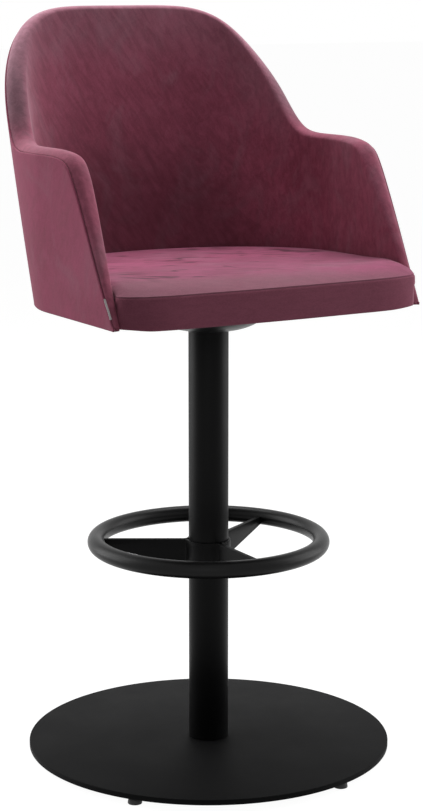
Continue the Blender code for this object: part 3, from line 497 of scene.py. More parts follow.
tub = {
    "boardHeight": 0.693, "halfWidth": 0.2557, "lowerTaper": 0.0019, "upperTaper": 0.0163,
    "taperShare": 0.90, "front": 0.179, "backCentre": 0.0250, "backDepth": 0.2190,
    "sideFlare": 0.0585, "sideFade": 0.30, "backFlare": 0.153, "backFade": 0.16,
    "lowerSquareness": 1.9, "upperSquareness": 3.05, "armHeight": 0.2248, "backHeight": 0.417,
    "cornerRise": 0.003, "backGirth": 0.60, "rimWall": 0.0338, "armLowerWall": 0.0105,
    "wallSwell": 0.90, "backLowerWall": 0.050, "rimRoll": 0.0073, "rollStart": 0.030,
    "panelThickness": 0.0030, "liningDepth": 0.0079, "paddingGap": 0.0006,
    "armRim": ((1.0, 0.0), (0.943, 0.233), (0.899, 0.421), (0.771, 0.955), (0.726, 0.988),
               (0.662, 1.003), (0.558, 0.996)),
    "backRim": ((0.460, 0.0), (0.396, 0.357), (0.317, 0.614), (0.218, 0.880),
                (0.110, 1.0), (0.0, 1.0)),
}


def rimPoints():
    arm = [(girth, tub["armHeight"] * share) for girth, share in tub["armRim"]]
    arm[0] = (1.0, tub["cornerRise"])
    back = [(girth, mix(tub["armHeight"], tub["backHeight"], share))
            for girth, share in tub["backRim"]]
    points = [Vector(point) for point in arm + back]
    return [2 * points[0] - points[1]] + points + [2 * points[-1] - points[-2]]


rimGuides = rimPoints()


def rimPoint(share):
    # (girth, height) on the rim, from an arm's lower front corner to the back's middle
    place = share * (len(rimGuides) - 3)
    first = min(int(place), len(rimGuides) - 4)
    t = place - first
    weights = ((1 - t) ** 3 / 6, (3 * t ** 3 - 6 * t ** 2 + 4) / 6,
               (-3 * t ** 3 + 3 * t ** 2 + 3 * t + 1) / 6, t ** 3 / 6)
    found = Vector((0, 0))
    for weight, point in zip(weights, rimGuides[first:first + 4]):
        found += weight * point
    return found


def tubOutside(girth, height):
    high = height / tub["backHeight"]
    halfWidth = tub["halfWidth"] + tub["sideFlare"] * (1 - tub["sideFade"] * high) * height
    backDepth = tub["backDepth"] + tub["backFlare"] * (1 - tub["backFade"] * high) * height
    squareness = mix(tub["lowerSquareness"], tub["upperSquareness"], high)
    if girth < tub["backGirth"]:
        turn = girth / tub["backGirth"] * pi / 2
        x = halfWidth * copysign(abs(sin(turn)) ** (2 / squareness), turn)
        y = tub["backCentre"] + backDepth * abs(cos(turn)) ** (2 / squareness)
    else:
        forward = (girth - tub["backGirth"]) / (1 - tub["backGirth"])
        taper = mix(tub["lowerTaper"], tub["upperTaper"], (height / tub["armHeight"]) ** 2)
        x = halfWidth - taper * forward ** tub["taperShare"]
        y = mix(tub["backCentre"], -tub["front"], forward)
    return Vector((x, y + axisY, tub["boardHeight"] + height))


def tubOutward(girth, height):
    step = 0.001
    along = tubOutside(girth + step, height) - tubOutside(girth - step, height)
    rise = tub["backHeight"] * step
    up = tubOutside(girth, height + rise) - tubOutside(girth, height - rise)
    return up.cross(along).normalized()


def tubWall(girth, height):
    backward = 0.5 + 0.5 * cos(pi * min(girth / tub["backGirth"], 1))
    lowerWall = mix(tub["armLowerWall"], tub["backLowerWall"], backward)
    swell = min(max(height, 0) / tub["armHeight"], 1) ** tub["wallSwell"]
    return mix(lowerWall, tub["rimWall"], swell)


def under(girth, height, depth):
    # a place that far below the tub's outer face
    return tubOutside(girth, height) - tubOutward(girth, height) * depth


# Covers of the tub

trim = {
    "stations": 132,          # from an arm's front corner to the back's middle
    "rows": 44,               # up the wall
    "rowCrowding": 0.12,      # how the rows crowd towards the rim and the foot
    "besideEvery": 4,         # rows for each one of the inner cover's hidden side
    "pinches": ((0.0021, 0.45), (0.0016, 0.85), (0.0006, 1.0)),    # an arm's tip: forward, kept
    "tipOver": (0.7, 0.3, 0.1), "leastLine": 0.004,
    "panelDip": 0.0005,       # how deep the rim seam draws the outer cover in
    "panelTurn": 0.0030,      # how far from the seam that begins
    "mostDraw": 0.72,         # share of the panel's thickness
    "panelEdge": ((0.34, 0.0004), (0.80, 0.0004), (0.90, 0.0002)),  # share in, height over the rim
    "footRadius": 0.0013,     # where the outer cover folds under
    "footDrop": 0.0012,       # how far that fold hangs below the shell
    "footFade": 0.006,
    "seamTuck": 0.0029,       # the roll starts that far inside the outer cover's edge
    "tuckFade": 6, "tuckDepth": 0.0045, "tuckGap": 0.0001,
    "rollSteps": 26,          # over the rim
    "rollCrowding": 1.25,     # how they crowd where the roll turns down on the inner side
    "rollDip": 0.0012,        # how far below the outer cover's edge the roll starts
    "mostDip": 0.35,          # share of the roll's lift
    "leastLift": 0.001,       # where the roll fades out at an arm's tip
    "rollRise": 0.50,         # share of the rim over which the roll reaches its full height
    "riseCurve": 1.8, "fallCurve": (2.5, 1 / 2.2), "rollKeep": 0.985, "weld": 0.00004,
}
paintedLightAndSheen = {
    # painted light and shade, as factors on the inner cover's colour: on the arms' fronts and tops, in
    # the bend behind them (painted shade), on the back's rim, just inside the rim and at the foot of
    # the inside (painted shade), with the depths between those two
    "front": 1.22, "arm": 0.93, "bend": 0.74, "rim": 1.50, "inside": 1.13, "foot": 0.54,
    "from": 0.12, "to": 0.34,
    # shares of the arm's height: where its top, the bend, the back's rim and the painted sheen begin
    # and end
    "armTop": (0.70, 1.0), "bendUp": (0.99, 1.10), "rimUp": (1.25, 0.98), "sheenUp": (1.0, 1.25),
    # painted sheen over the rim and just inside it, the depth over which it fades, and where the
    # roll's values turn to the inside's
    "rimSheen": 0.75, "insideSheen": 0.35, "sheenDepth": 0.11, "turnFrom": 0.35,
}


def rimLengths(count):
    # share of the rim's length at each station, which is where its line stands on the board
    outside = [tubOutside(*rimPoint(i / count)) for i in range(count + 1)]
    lengths = [0.0]
    for first, second in zip(outside, outside[1:]):
        lengths.append(lengths[-1] + (second - first).length)
    return [length / lengths[-1] for length in lengths]


stationCount = trim["stations"]
lengthShares = rimLengths(stationCount)


def stationLine(station, rise):
    # (girth, height) at a share of the way up one line of the tub
    rim = rimPoint(station / stationCount)
    return mix(1 - lengthShares[station], rim.x, rise), rim.y * rise


def rimFrame(station):
    rim = rimPoint(station / stationCount)
    before = rimPoint(max(station - 1, 0) / stationCount)
    after = rimPoint(min(station + 1, stationCount) / stationCount)
    along = tubOutside(*after) - tubOutside(*before)
    if station == stationCount:
        along.y = 0
        along.z = 0
    outward = tubOutward(*rim)
    return tubOutside(*rim), outward, outward.cross(along).normalized()


def rollHeight(share):
    # the roll's height over the rim, from the outer seam, where it starts in a valley, inwards
    rise = trim["rollRise"]
    if share < rise:
        return 1 - (1 - share / rise) ** trim["riseCurve"]
    steep, flat = trim["fallCurve"]
    return max(0.0, 1 - ((share - rise) / (1 - rise)) ** steep) ** flat


def skin(name, sections, layers):
    # a closed cover from equal sections, mirrored to the other arm and welded at the middle
    shape = bmesh.new()
    floats = {layer: shape.verts.layers.float.new(layer) for layer in layers}
    grid = [[shape.verts.new(point) for point in section] for section in sections]
    for layer, values in layers.items():
        for row, rowValues in zip(grid, values):
            for vert, value in zip(row, rowValues):
                vert[floats[layer]] = value
    for here, there in zip(grid, grid[1:]):
        for j in range(len(here)):
            k = (j + 1) % len(here)
            shape.faces.new((here[j], there[j], there[k], here[k]))
    shape.faces.new(grid[0])
    bmesh.ops.mirror(shape, geom=shape.verts[:] + shape.edges[:] + shape.faces[:], axis="X",
                     merge_dist=-1)
    bmesh.ops.remove_doubles(shape, verts=shape.verts, dist=trim["weld"])
    return pieceFrom(shape, name)


def tipLoop(nearDepth, farDepth):
    # places across an arm's lower front tip: 1 is the outer side, 0 the inner, and share is up
    def place(outer, share):
        lift = mix(-trim["footDrop"], tub["cornerRise"], share)
        return under(1, 0, mix(farDepth, nearDepth, outer)) + Vector((0, 0, lift))

    return place


def tipSections(loop):
    # the loop moved forward and drawn in towards its middle
    middle = sum(loop, Vector()) / len(loop)
    return [[middle + (point - middle) * keep + Vector((0, -forward, 0)) for point in loop]
            for forward, keep in trim["pinches"]]


def outerSections():
    # outer cover: out over the foot's fold, up the outside and in over the rim seam
    rows = trim["rows"]
    thickness = tub["panelThickness"]
    fold = trim["footRadius"]
    tip = tipLoop(0.0, thickness)
    loop = [tip(0.0, share) for share in np.linspace(0, 1, rows + 1)[::-1]]
    loop += [tip(1.0, share) for share in np.linspace(0, 1, rows + 1)]
    loop += [tip(outer, 1.0) for outer in trim["tipOver"]]
    sections = tipSections(loop)
    for station in range(stationCount + 1):
        corner, outward, over = rimFrame(station)
        line = tubOutside(*stationLine(station, 1)) - tubOutside(*stationLine(station, 0))
        lineLength = max(trim["leastLine"], line.length)
        inside = []
        outside = []
        for row in range(rows + 1):
            share = row / rows
            rise = share - trim["rowCrowding"] * sin(2 * pi * share)
            spot = stationLine(station, rise)
            fromFoot = rise * lineLength
            nearSeam = max(0.0, 1 - (1 - rise) * lineLength / trim["panelTurn"])
            draw = trim["panelDip"] * smoothed(nearSeam)
            if fromFoot < fold:
                draw += fold - sqrt(max(0.0, fold ** 2 - (fold - fromFoot) ** 2))
            draw = min(draw, thickness * trim["mostDraw"])
            hang = trim["footDrop"] * max(0.0, 1 - fromFoot / trim["footFade"])
            hang = Vector((0, 0, hang))
            outside.append(under(*spot, draw) - hang)
            inside.append(under(*spot, thickness) - hang)
        edge = [corner - outward * (thickness * share) + over * rise
                for share, rise in trim["panelEdge"]]
        sections.append(inside[::-1] + outside + edge)
    return sections


def rimLightAndSheen(height):
    # (painted light, painted sheen) on the roll, by its height above the board
    arm = tub["armHeight"]
    light = paintedLightAndSheen["front"]
    for key, (low, high), top in (("arm", paintedLightAndSheen["armTop"], arm), ("bend", paintedLightAndSheen["bendUp"], arm),
                                  ("rim", paintedLightAndSheen["rimUp"], tub["backHeight"])):
        light = mix(light, paintedLightAndSheen[key], eased(height, arm * low, top * high))
    low, high = paintedLightAndSheen["sheenUp"]
    return light, paintedLightAndSheen["rimSheen"] * eased(height, arm * low, arm * high)


def innerSections():
    # inner cover: up beside the shell, out over the rim to the seam, over the roll and down
    rows = trim["rows"]
    steps = trim["rollSteps"]
    every = trim["besideEvery"]
    tip = tipLoop(tub["panelThickness"] + tub["paddingGap"], tub["armLowerWall"])
    loop = [tip(1.0, share) for share in np.linspace(0, 1, rows // every + 1)] + [tip(1.0, 1.0)] * 2
    loop += [tip(1 - share, 1.0) for share in np.linspace(0, 1, steps + 1)]
    loop += [tip(0.0, share) for share in np.linspace(1, 0, rows + 1)[1:]]
    sections = tipSections(loop)
    # painted light and painted sheen for each point, level at the arm's tip
    paintedLights = [[paintedLightAndSheen["arm"]] * len(loop)] * len(sections)
    paintedSheens = [[0.0] * len(loop)] * len(sections)
    for station in range(stationCount + 1):
        corner, outward, over = rimFrame(station)
        wall = tubWall(*rimPoint(station / stationCount))
        height = corner.z - tub["boardHeight"]
        hidden = [under(*stationLine(station, row / rows), tub["liningDepth"])
                  for row in range(0, rows + 1, every)]
        swell = min(1, height / tub["rollStart"])
        lift = tub["rimRoll"] * swell * min(1, wall / tub["rimWall"])
        sunk = min(trim["rollDip"], trim["mostDip"] * lift)
        hidden += [corner - outward * depth + over * (tub["paddingGap"] - trim["tuckGap"])
                   for depth in (tub["liningDepth"], trim["tuckDepth"])]
        # painted light and painted sheen on this station's roll, by its height
        light, grey = rimLightAndSheen(height)
        insideSheen = grey * paintedLightAndSheen["insideSheen"] / paintedLightAndSheen["rimSheen"]
        paintedLightRow = [light] * len(hidden)
        paintedSheenRow = [grey] * len(hidden)
        roll = []
        for step in range(steps + 1):
            share = sin(pi / 2 * step / steps) ** trim["rollCrowding"] if step else 0.0
            start = trim["seamTuck"] * (1 - share) ** trim["tuckFade"]
            fall = (lift + sunk) * rollHeight(share)
            full = min(1, lift / trim["leastLift"]) * trim["rollKeep"]
            roll.append(corner - outward * (wall * share + start)
                        + over * (tub["paddingGap"] + fall * full))
            turned = eased(step / steps, paintedLightAndSheen["turnFrom"], 1.0)
            paintedLightRow.append(mix(light, paintedLightAndSheen["inside"], turned))
            paintedSheenRow.append(mix(grey, insideSheen, turned))
        inside = []
        # down the inside the painted light falls to painted shade at the foot, and the painted sheen
        # fades out
        for row in range(rows - 1, -1, -1):
            spot = stationLine(station, row / rows)
            inside.append(under(*spot, tubWall(*spot)))
            depth = (corner - inside[-1]).length
            paintedLightRow.append(mix(paintedLightAndSheen["inside"], paintedLightAndSheen["foot"], eased(depth, paintedLightAndSheen["from"], paintedLightAndSheen["to"])))
            paintedSheenRow.append(insideSheen * (1 - eased(depth, 0.0, paintedLightAndSheen["sheenDepth"])))
        sections.append(hidden + roll + inside)
        paintedLights.append(paintedLightRow)
        paintedSheens.append(paintedSheenRow)
    return sections, {"paintedLight": paintedLights, "paintedSheen": paintedSheens}


outerCover = skin("outer_cover", outerSections(), {})
handOver(outerCover, "velvetOuter", "seat", "outer_panel")

innerCover = skin("inner_padding", *innerSections())
handOver(innerCover, "velvetInner", "seat", "inner_upholstery")


# Seat cushion: a boxed pad, modelled full and then swollen between its seams

pad = {
    "front": 0.2005, "halfWidth": 0.2430, "frontBow": 0.0036, "bottom": 0.690,
    "seamHeight": 0.737, "crown": 0.0165, "riseLength": 0.070, "summit": 0.110, "fall": 0.32,
    "back": 0.240, "spread": 0.0098, "spreadStart": 0.160, "spreadEnd": 0.125,
    "clearance": 0.0007,
    # right front corner and left: how long and deep its curve is, how far it bulges before the
    # arm, how much fuller the pad stands beside the arm, and how far its foot lifts
    "corners": {1: (0.098, 0.0290, 0.0062, 0.0022, 0.0014), -1: (0.092, 0.0330, 0.0, 0.0012, 0.0032)},
    "fullFrom": 0.13, "fullTo": 0.23, "fullAt": 0.140, "fullOver": 0.045, "fullRise": 6.0,
    "liftBeside": (0.195, 0.240), "liftAhead": (0.120, 0.160),
    "around": 264,            # points round the edge
    "frontPoints": 40, "curvePoints": 60, "spreadPoints": 12,
    "bottomRings": (0.30, 0.62, 0.86, 0.96),
    "topRings": 30, "ringCrowding": 1.15,
    "bandRows": 12, "bandBulge": 0.0005, "bandEnd": 0.0030,
    "bottomRoll": 0.0030,
    # the band's seam: drop below it, and how far it is drawn in
    "seam": ((0.0030, 0.0), (0.0018, 0.0003), (0.0009, 0.0010), (0.0, 0.0017), (-0.0006, 0.0016)),
    "topRoll": 0.0024,        # radius over which the top panel turns down to the seam
    "rollTurn": 0.72,         # radians, to where the crown's own slope takes over
    "rollBack": 0.0014, "rollLift": 0.0009, "rollFlat": 0.40, "rollRings": 8, "rollFade": 0.016,
}
arms = {
    # the tub's inner face beside the pad, as a table of bearings and distances
    "low": -0.012, "high": 0.084, "heights": 24, "girths": 180, "rimSpots": 60, "over": 0.010,
    # before an arm's front edge the pad is free, and rounds off towards it
    "free": ((0.060, 0.040), (0.018, 0.012), (0.006, 0.0025)), "open": 9.0,
}


def padEdge(side):
    # half the pad's outline, from the front's middle round one side to the back's middle
    length, depth, bulge = pad["corners"][side][:3]
    straight = pad["halfWidth"] + bulge - length
    count = pad["frontPoints"]
    edge = [(straight * i / count, -pad["front"] - pad["frontBow"] * (1 - (i / count) ** 2) ** 1.5)
            for i in range(count)]
    angles = [pi / 2 * i / pad["curvePoints"] for i in range(pad["curvePoints"] + 1)]
    edge += [(straight + length * sin(angle), depth * (1 - cos(angle)) - pad["front"])
             for angle in angles]
    wide = pad["halfWidth"] + pad["spread"]
    for i in range(pad["spreadPoints"] + 1):
        share = i / pad["spreadPoints"]
        edge.append((mix(pad["halfWidth"], wide, smoothed(share)),
                     -mix(pad["spreadStart"], pad["spreadEnd"], share)))
    start = tub["backCentre"]
    edge.append((wide, mix(-pad["spreadEnd"], start, 0.5)))
    edge += [(wide * cos(angle), start + (pad["back"] - start) * sin(angle))
             for angle in angles]
    return np.array(edge)


def evenly(points, count):
    # the same line with points evenly spaced along it
    steps = np.linalg.norm(np.diff(points, axis=0), axis=1)
    run = np.concatenate([[0], np.cumsum(steps)])
    places = np.linspace(0, run[-1], count)
    return np.stack([np.interp(places, run, points[:, k]) for k in range(points.shape[1])], axis=1)


rightEdge, leftEdge = (evenly(padEdge(side), pad["around"] // 2 + 1) for side in (1, -1))
wholeEdge = np.concatenate([rightEdge, leftEdge[-2:0:-1] * (-1, 1)])
chords = np.roll(wholeEdge, -1, axis=0) - np.roll(wholeEdge, 1, axis=0)
edgeNormals = np.stack([chords[:, 1], -chords[:, 0]], axis=1)
edgeNormals /= np.linalg.norm(edgeNormals, axis=1)[:, None]


def wallColumns():
    # places up the tub's inner face at each girth, and how high its rim lets them count
    rim = [rimPoint(i / arms["rimSpots"]) for i in range(arms["rimSpots"] + 1)][::-1]
    found = []
    for i in range(arms["girths"] + 1):
        girth = i / arms["girths"]
        column = []
        for j in range(arms["heights"] + 1):
            height = arms["low"] + (arms["high"] - arms["low"]) * j / arms["heights"]
            spot = under(girth, height, tubWall(girth, height) + pad["clearance"])
            column.append((spot.x, spot.y - axisY, spot.z))
        reach = np.interp(girth, [spot.x for spot in rim], [spot.y for spot in rim])
        found.append((np.array(column), tub["boardHeight"] + arms["over"] + reach))
    return found


wallTable = wallColumns()


def insideWall(z):
    # bearing from the column and distance to the tub's inner face, at a height
    found = []
    for column, reach in wallTable:
        if z < reach:
            x = np.interp(z, column[:, 2], column[:, 0])
            y = np.interp(z, column[:, 2], column[:, 1])
            found.append((atan2(x, -y), hypot(x, y)))
    found.sort()
    bearing, distance = found[0]
    return np.array([(bearing - turn, distance + more) for turn, more in arms["free"]] + found)


def keptInside(points, z):
    # points of a ring at one height, drawn in to where the tub's inner face is
    limits = insideWall(z)
    bearings = np.arctan2(np.abs(points[:, 0]), -points[:, 1])
    reach = np.hypot(points[:, 0], points[:, 1])
    most = np.interp(bearings, limits[:, 0], limits[:, 1], left=arms["open"])
    return points * np.minimum(1, most / np.maximum(reach, 0.001))[:, None]


def padTop(x, y):
    # height of the crowned top: it rises behind the front seam and sinks towards the back
    corner = 0
    full = 0
    riseLength = pad["riseLength"]
    for side, (length, depth, bulge, fuller, _) in pad["corners"].items():
        turn = np.clip((side * x - pad["halfWidth"] - bulge) / length + 1, 0, 1)
        corner = corner + depth * (1 - np.sqrt(1 - turn ** 2))
        full = full + fuller * eased(side * x, pad["fullFrom"], pad["fullTo"])
        riseLength = riseLength - pad["fullRise"] * fuller * turn
    full = full * np.exp(-((y + pad["fullAt"]) / pad["fullOver"]) ** 2)
    forward = np.clip((y + pad["front"] + pad["frontBow"] - corner) / riseLength, 0, 1)
    rearward = np.clip((y + pad["summit"]) / (pad["back"] + pad["summit"]), 0, 1)
    fall = 1 - pad["fall"] * (1 - (1 - rearward) ** 2)
    return pad["seamHeight"] + (pad["crown"] * fall + full) * (1 - (1 - forward) ** 2)


def lifted(points, z):
    # heights of a ring: its foot lifts a little at the front corners, its seam stays level
    low, high = pad["liftAhead"]
    ahead = np.clip((-points[:, 1] - low) / (high - low), 0, 1)
    beside = eased(np.abs(points[:, 0]), *pad["liftBeside"])
    share = (pad["seamHeight"] - z) / (pad["seamHeight"] - pad["bottom"])
    lift = np.where(points[:, 0] > 0, pad["corners"][1][-1], pad["corners"][-1][-1])
    return z + lift * share * beside * ahead


def padRings():
    # rings (points, heights, held) from the middle of the underside to the middle of the top
    rings = []
    bottom = pad["bottom"]
    seam = pad["seamHeight"]

    def addLevel(outline, z, held):
        points = keptInside(outline, z)
        rings.append((points, lifted(points, z), held))

    def addRing(shrink, z, held=1.0):
        addLevel(wholeEdge - edgeNormals * shrink, z, held)

    for share in pad["bottomRings"]:
        addLevel(wholeEdge * share, bottom, 1.0)
    roll = pad["bottomRoll"]
    for i in range(5):
        angle = pi / 2 * i / 4
        addRing(roll * (1 - sin(angle)), bottom + roll * (1 - cos(angle)))
    for i in range(1, pad["bandRows"]):
        share = i / pad["bandRows"]
        bulge = sin(pi * share)
        addRing(-pad["bandBulge"] * bulge, mix(bottom + roll, seam - pad["bandEnd"], share), 1 - bulge)
    for drop, shrink in pad["seam"]:
        addRing(shrink, seam - drop)
    roll = pad["topRoll"]
    count = pad["rollRings"]
    level = padTop(wholeEdge[:, 0], wholeEdge[:, 1])
    for i in range(count):
        angle = pad["rollTurn"] * i / (count - 1)
        flat = roll * pad["rollFlat"]
        lift = pad["rollLift"] + flat * sin(angle)
        here = seam + (level - seam) * (i / count) ** 0.5
        heights = np.maximum(seam + lift, here - flat * (1 - sin(angle)))
        points = wholeEdge - edgeNormals * (pad["rollBack"] + roll * (1 - cos(angle)))
        rings.append((keptInside(points, float(seam + lift)), heights, 1 - i / (count + 1)))
    edge = rings[-1][0]
    over = rings[-1][1] - padTop(edge[:, 0], edge[:, 1])
    for i in range(1, pad["topRings"]):
        points = edge * (1 - (i / pad["topRings"]) ** pad["ringCrowding"])
        fade = 1 - eased(np.hypot(*(edge - points).T), 0, pad["rollFade"])
        rings.append((points, padTop(points[:, 0], points[:, 1]) + over * fade, 0.0))
    return rings


def closedRings(name, rings):
    shape = bmesh.new()
    grid = [[shape.verts.new((x, y + axisY, z)) for (x, y), z in zip(points, heights)]
            for points, heights, held in rings]
    for here, there in zip(grid, grid[1:]):
        for j in range(len(here)):
            k = (j + 1) % len(here)
            shape.faces.new((here[j], here[k], there[k], there[j]))
    low = shape.verts.new((0, axisY, pad["bottom"]))
    high = shape.verts.new((0, axisY, float(padTop(np.array(0.0), np.array(0.0)))))
    for j in range(len(grid[0])):
        k = (j + 1) % len(grid[0])
        shape.faces.new((low, grid[0][k], grid[0][j]))
        shape.faces.new((high, grid[-1][j], grid[-1][k]))
    weights = [held for points, heights, held in rings for point in points] + [1.0, 0.0]
    return pieceFrom(shape, name), np.array(weights)


def coordinates(mesh):
    flat = np.empty(len(mesh.vertices) * 3)
    mesh.vertices.foreach_get("co", flat)
    return flat.reshape(-1, 3)


swelling = {
    "frames": 20, "cap": 0.0030,
    "cloth": {"quality": 5, "mass": 0.25, "tension_stiffness": 18, "compression_stiffness": 18,
              "shear_stiffness": 8, "bending_stiffness": 2.5, "pin_stiffness": 2.0,
              "use_pressure": True, "uniform_pressure_force": 4.0},
}


def swell(thing, held):
    # let the padding push the cover out between its seams, with the cloth solver
    group = thing.vertex_groups.new(name="held")
    for index, weight in enumerate(held):
        group.add([index], float(weight), "REPLACE")
    cloth = thing.modifiers.new("cover", "CLOTH")
    for key, value in swelling["cloth"].items():
        setattr(cloth.settings, key, value)
    cloth.settings.vertex_group_mass = "held"
    cloth.settings.effector_weights.gravity = 0
    cloth.point_cache.frame_start = 1
    cloth.point_cache.frame_end = swelling["frames"]
    rest = coordinates(thing.data)
    for number in range(1, swelling["frames"] + 1):
        bpy.context.scene.frame_set(number)
    evaluated = thing.evaluated_get(bpy.context.evaluated_depsgraph_get())
    moved = coordinates(evaluated.data) - rest
    far = np.linalg.norm(moved, axis=1)
    limit = swelling["cap"] * (1 - held)
    near = limit * np.tanh(far / np.maximum(limit, 1e-6))
    moved *= (near / np.maximum(far, 1e-9))[:, None]
    thing.modifiers.remove(cloth)
    thing.vertex_groups.clear()
    bpy.context.scene.frame_set(1)
    thing.data.vertices.foreach_set("co", (rest + moved).ravel())
    thing.data.update()
    print(thing.name, "swelled by up to", round(float(np.abs(moved).max()) * 1000, 2), "mm")


boardSpace = {"clear": 0.0004, "grow": 1 + 0.0004 / 0.2, "below": 0.02, "leastRadius": 0.150}


def boardRoom():
    # what the seat board takes out of the pad's underside
    corners = [v.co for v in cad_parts["seat_board"].data.vertices]
    low = min(co.z for co in corners)
    high = max(co.z for co in corners)
    rim = {(round(co.x, 5), round(co.y - axisY, 5)) for co in corners
           if co.z < low + 0.0001 and hypot(co.x, co.y - axisY) > boardSpace["leastRadius"]}
    rim = sorted(rim, key=lambda spot: atan2(spot[1], spot[0]))
    grow = boardSpace["grow"]
    shape = bmesh.new()
    for z in (low - boardSpace["below"], high + boardSpace["clear"]):
        shape.faces.new([shape.verts.new((x * grow, y * grow + axisY, z)) for x, y in rim])
    bmesh.ops.bridge_loops(shape, edges=shape.edges[:])
    return pieceFrom(shape, "boardRoom", smooth=False)


seatPad, padHeld = closedRings("seat_pad", padRings())
swell(seatPad, padHeld)
cutAway(seatPad, boardRoom())
handOver(seatPad, "velvetSeat", "seat", "seat_cushion")


# Metalwork and feet, modelled finer over the frame's own pieces

def pickUp(thing, selected="SELECT"):
    # one object active and in edit mode, with all of it selected or none
    only(thing)
    bpy.ops.object.mode_set(mode="EDIT")
    bpy.ops.mesh.select_mode(type="EDGE")
    bpy.ops.mesh.select_all(action=selected)


def putDown(turnOut=True):
    # back to object mode, with the faces turned outwards
    if turnOut:
        bpy.ops.mesh.select_all(action="SELECT")
        bpy.ops.mesh.normals_make_consistent(inside=False)
    bpy.ops.object.mode_set(mode="OBJECT")


def selectEdges(thing, wanted):
    # in edit mode: select the edges whose two ends both pass
    shape = bmesh.from_edit_mesh(thing.data)
    for edge in shape.edges:
        edge.select_set(all(wanted(vert.co) for vert in edge.verts))
    shape.select_flush(True)
    bmesh.update_edit_mesh(thing.data)


def pullRings(places, centre):
    # extrude the selected loop through (radius, height) places
    for (radius, height), (nextRadius, nextHeight) in zip(places, places[1:]):
        bpy.ops.mesh.extrude_region_move(
            TRANSFORM_OT_translate={"value": (0, 0, nextHeight - height)})
        wider = nextRadius / radius
        bpy.ops.transform.resize(value=(wider, wider, 1), center_override=(*centre, nextHeight))


def placed(thing, name):
    # the piece's place goes into its mesh
    only(thing)
    bpy.ops.object.transform_apply(location=True, rotation=True, scale=True)
    thing.name = name
    thing.data.name = name
    return thing


def rod(sides, radius, depth, place, **more):
    bpy.ops.mesh.primitive_cylinder_add(vertices=sides, radius=radius, depth=depth, location=place,
                                        **more)
    return bpy.context.object


def circle(sides, radius, place, **more):
    bpy.ops.mesh.primitive_circle_add(vertices=sides, radius=radius, location=place, **more)
    return bpy.context.object


def addWall(thing, thickness, offset):
    wall = thing.modifiers.new("wall", "SOLIDIFY")
    wall.thickness = thickness
    wall.offset = offset


def addBevel(thing, width, angle):
    edge = thing.modifiers.new("edge", "BEVEL")
    edge.width = width
    edge.segments = 2
    edge.limit_method = "ANGLE"
    edge.angle_limit = radians(angle)


def finished(thing, finish, body, node, smooth=35):
    applyModifiers(thing)
    bpy.ops.object.shade_smooth_by_angle(angle=radians(smooth))
    handOver(thing, finish, body, node)


def middleOf(node):
    low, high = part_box(node)
    return (low + high) / 2, (high - low) / 2


def around(count, radius, turn=0.0):
    # places round the column's axis
    for i in range(count):
        angle = 2 * pi * (i + turn) / count
        yield radius * cos(angle), axisY + radius * sin(angle)


baseWork = {"sides": 192, "edge": 0.0012, "holeSides": 32, "footHole": 0.0043,
            "footHoleDepth": 0.0063, "feet": 5, "footCircle": 0.260, "screws": 4,
            "screwCircle": 0.017, "screwHole": 0.0043, "through": 0.04, "screwHead": 0.0079,
            "screwHeadDepth": 0.0042, "headWider": 1.1, "overrun": 0.0005}


def makeBase():
    work = baseWork
    middle, half = middleOf("base_plate")
    low = middle.z - half.z
    sides = work["holeSides"]
    base = placed(rod(work["sides"], half.x, 2 * half.z, middle), "base_disc")
    pickUp(base, "DESELECT")
    selectEdges(base, lambda co: abs(abs(co.z - middle.z) - half.z) < 0.0001)
    bpy.ops.mesh.bevel(offset=work["edge"], segments=4, affect="EDGES")
    putDown(turnOut=False)
    for x, y in around(work["feet"], work["footCircle"]):
        cutAway(base, rod(sides, work["footHole"], 2 * work["footHoleDepth"], (x, y, low)))
    deep = work["screwHeadDepth"]
    for x, y in around(work["screws"], work["screwCircle"], 0.5):
        cutAway(base, rod(sides, work["screwHole"], work["through"], (x, y, middle.z)))
        bpy.ops.mesh.primitive_cone_add(
            vertices=sides, radius1=work["screwHead"] * work["headWider"],
            radius2=work["screwHole"], depth=deep + 2 * work["overrun"],
            location=(x, y, low + deep / 2 - work["overrun"]))
        cutAway(base, bpy.context.object)
    finished(base, "blackPlate", "base", "base_plate")


columnWork = {"sides": 128, "wall": 0.0025, "edge": 0.0005, "edgeAngle": 30}


def makeColumn():
    middle, half = middleOf("column_tube")
    column = rod(columnWork["sides"], half.x, 2 * half.z, middle, end_fill_type="NOTHING")
    placed(column, "column")
    addWall(column, columnWork["wall"], -1)
    addBevel(column, columnWork["edge"], columnWork["edgeAngle"])
    finished(column, "blackCoat", "base", "column_tube")


ringWork = {"sides": 36, "steps": 180}
weld = 0.00002


def makeRing():
    middle, half = middleOf("footrest_ring")
    tube = half.z
    ring = circle(ringWork["sides"], tube, (half.x - tube, axisY, middle.z), rotation=(pi / 2, 0, 0))
    placed(ring, "foot_ring")
    pickUp(ring)
    bpy.ops.mesh.spin(steps=ringWork["steps"], angle=2 * pi, center=(0, axisY, middle.z),
                      axis=(0, 0, 1))
    bpy.ops.mesh.select_all(action="SELECT")
    bpy.ops.mesh.remove_doubles(threshold=weld)
    putDown()
    finished(ring, "ringCoat", "base", "footrest_ring")


webWork = {"edge": 0.0004, "edgeAngle": 40}


def makeWebs():
    for number in (1, 2, 3):
        node = f"footrest_web_{number}"
        web = linked(f"foot_web_{number}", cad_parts[node].data.copy())
        pickUp(web)
        bpy.ops.mesh.remove_doubles(threshold=weld)
        bpy.ops.mesh.tris_convert_to_quads()
        putDown(turnOut=False)
        addBevel(web, webWork["edge"], webWork["edgeAngle"])
        finished(web, "blackCoat", "base", node, webWork["edgeAngle"])


swivelBowl = {"neck": 0.0313, "bowl": 0.094, "lip": 0.100, "wall": 0.0012, "full": 0.6,
              "rows": 28, "sides": 128, "edge": 0.0003, "edgeAngle": 50}


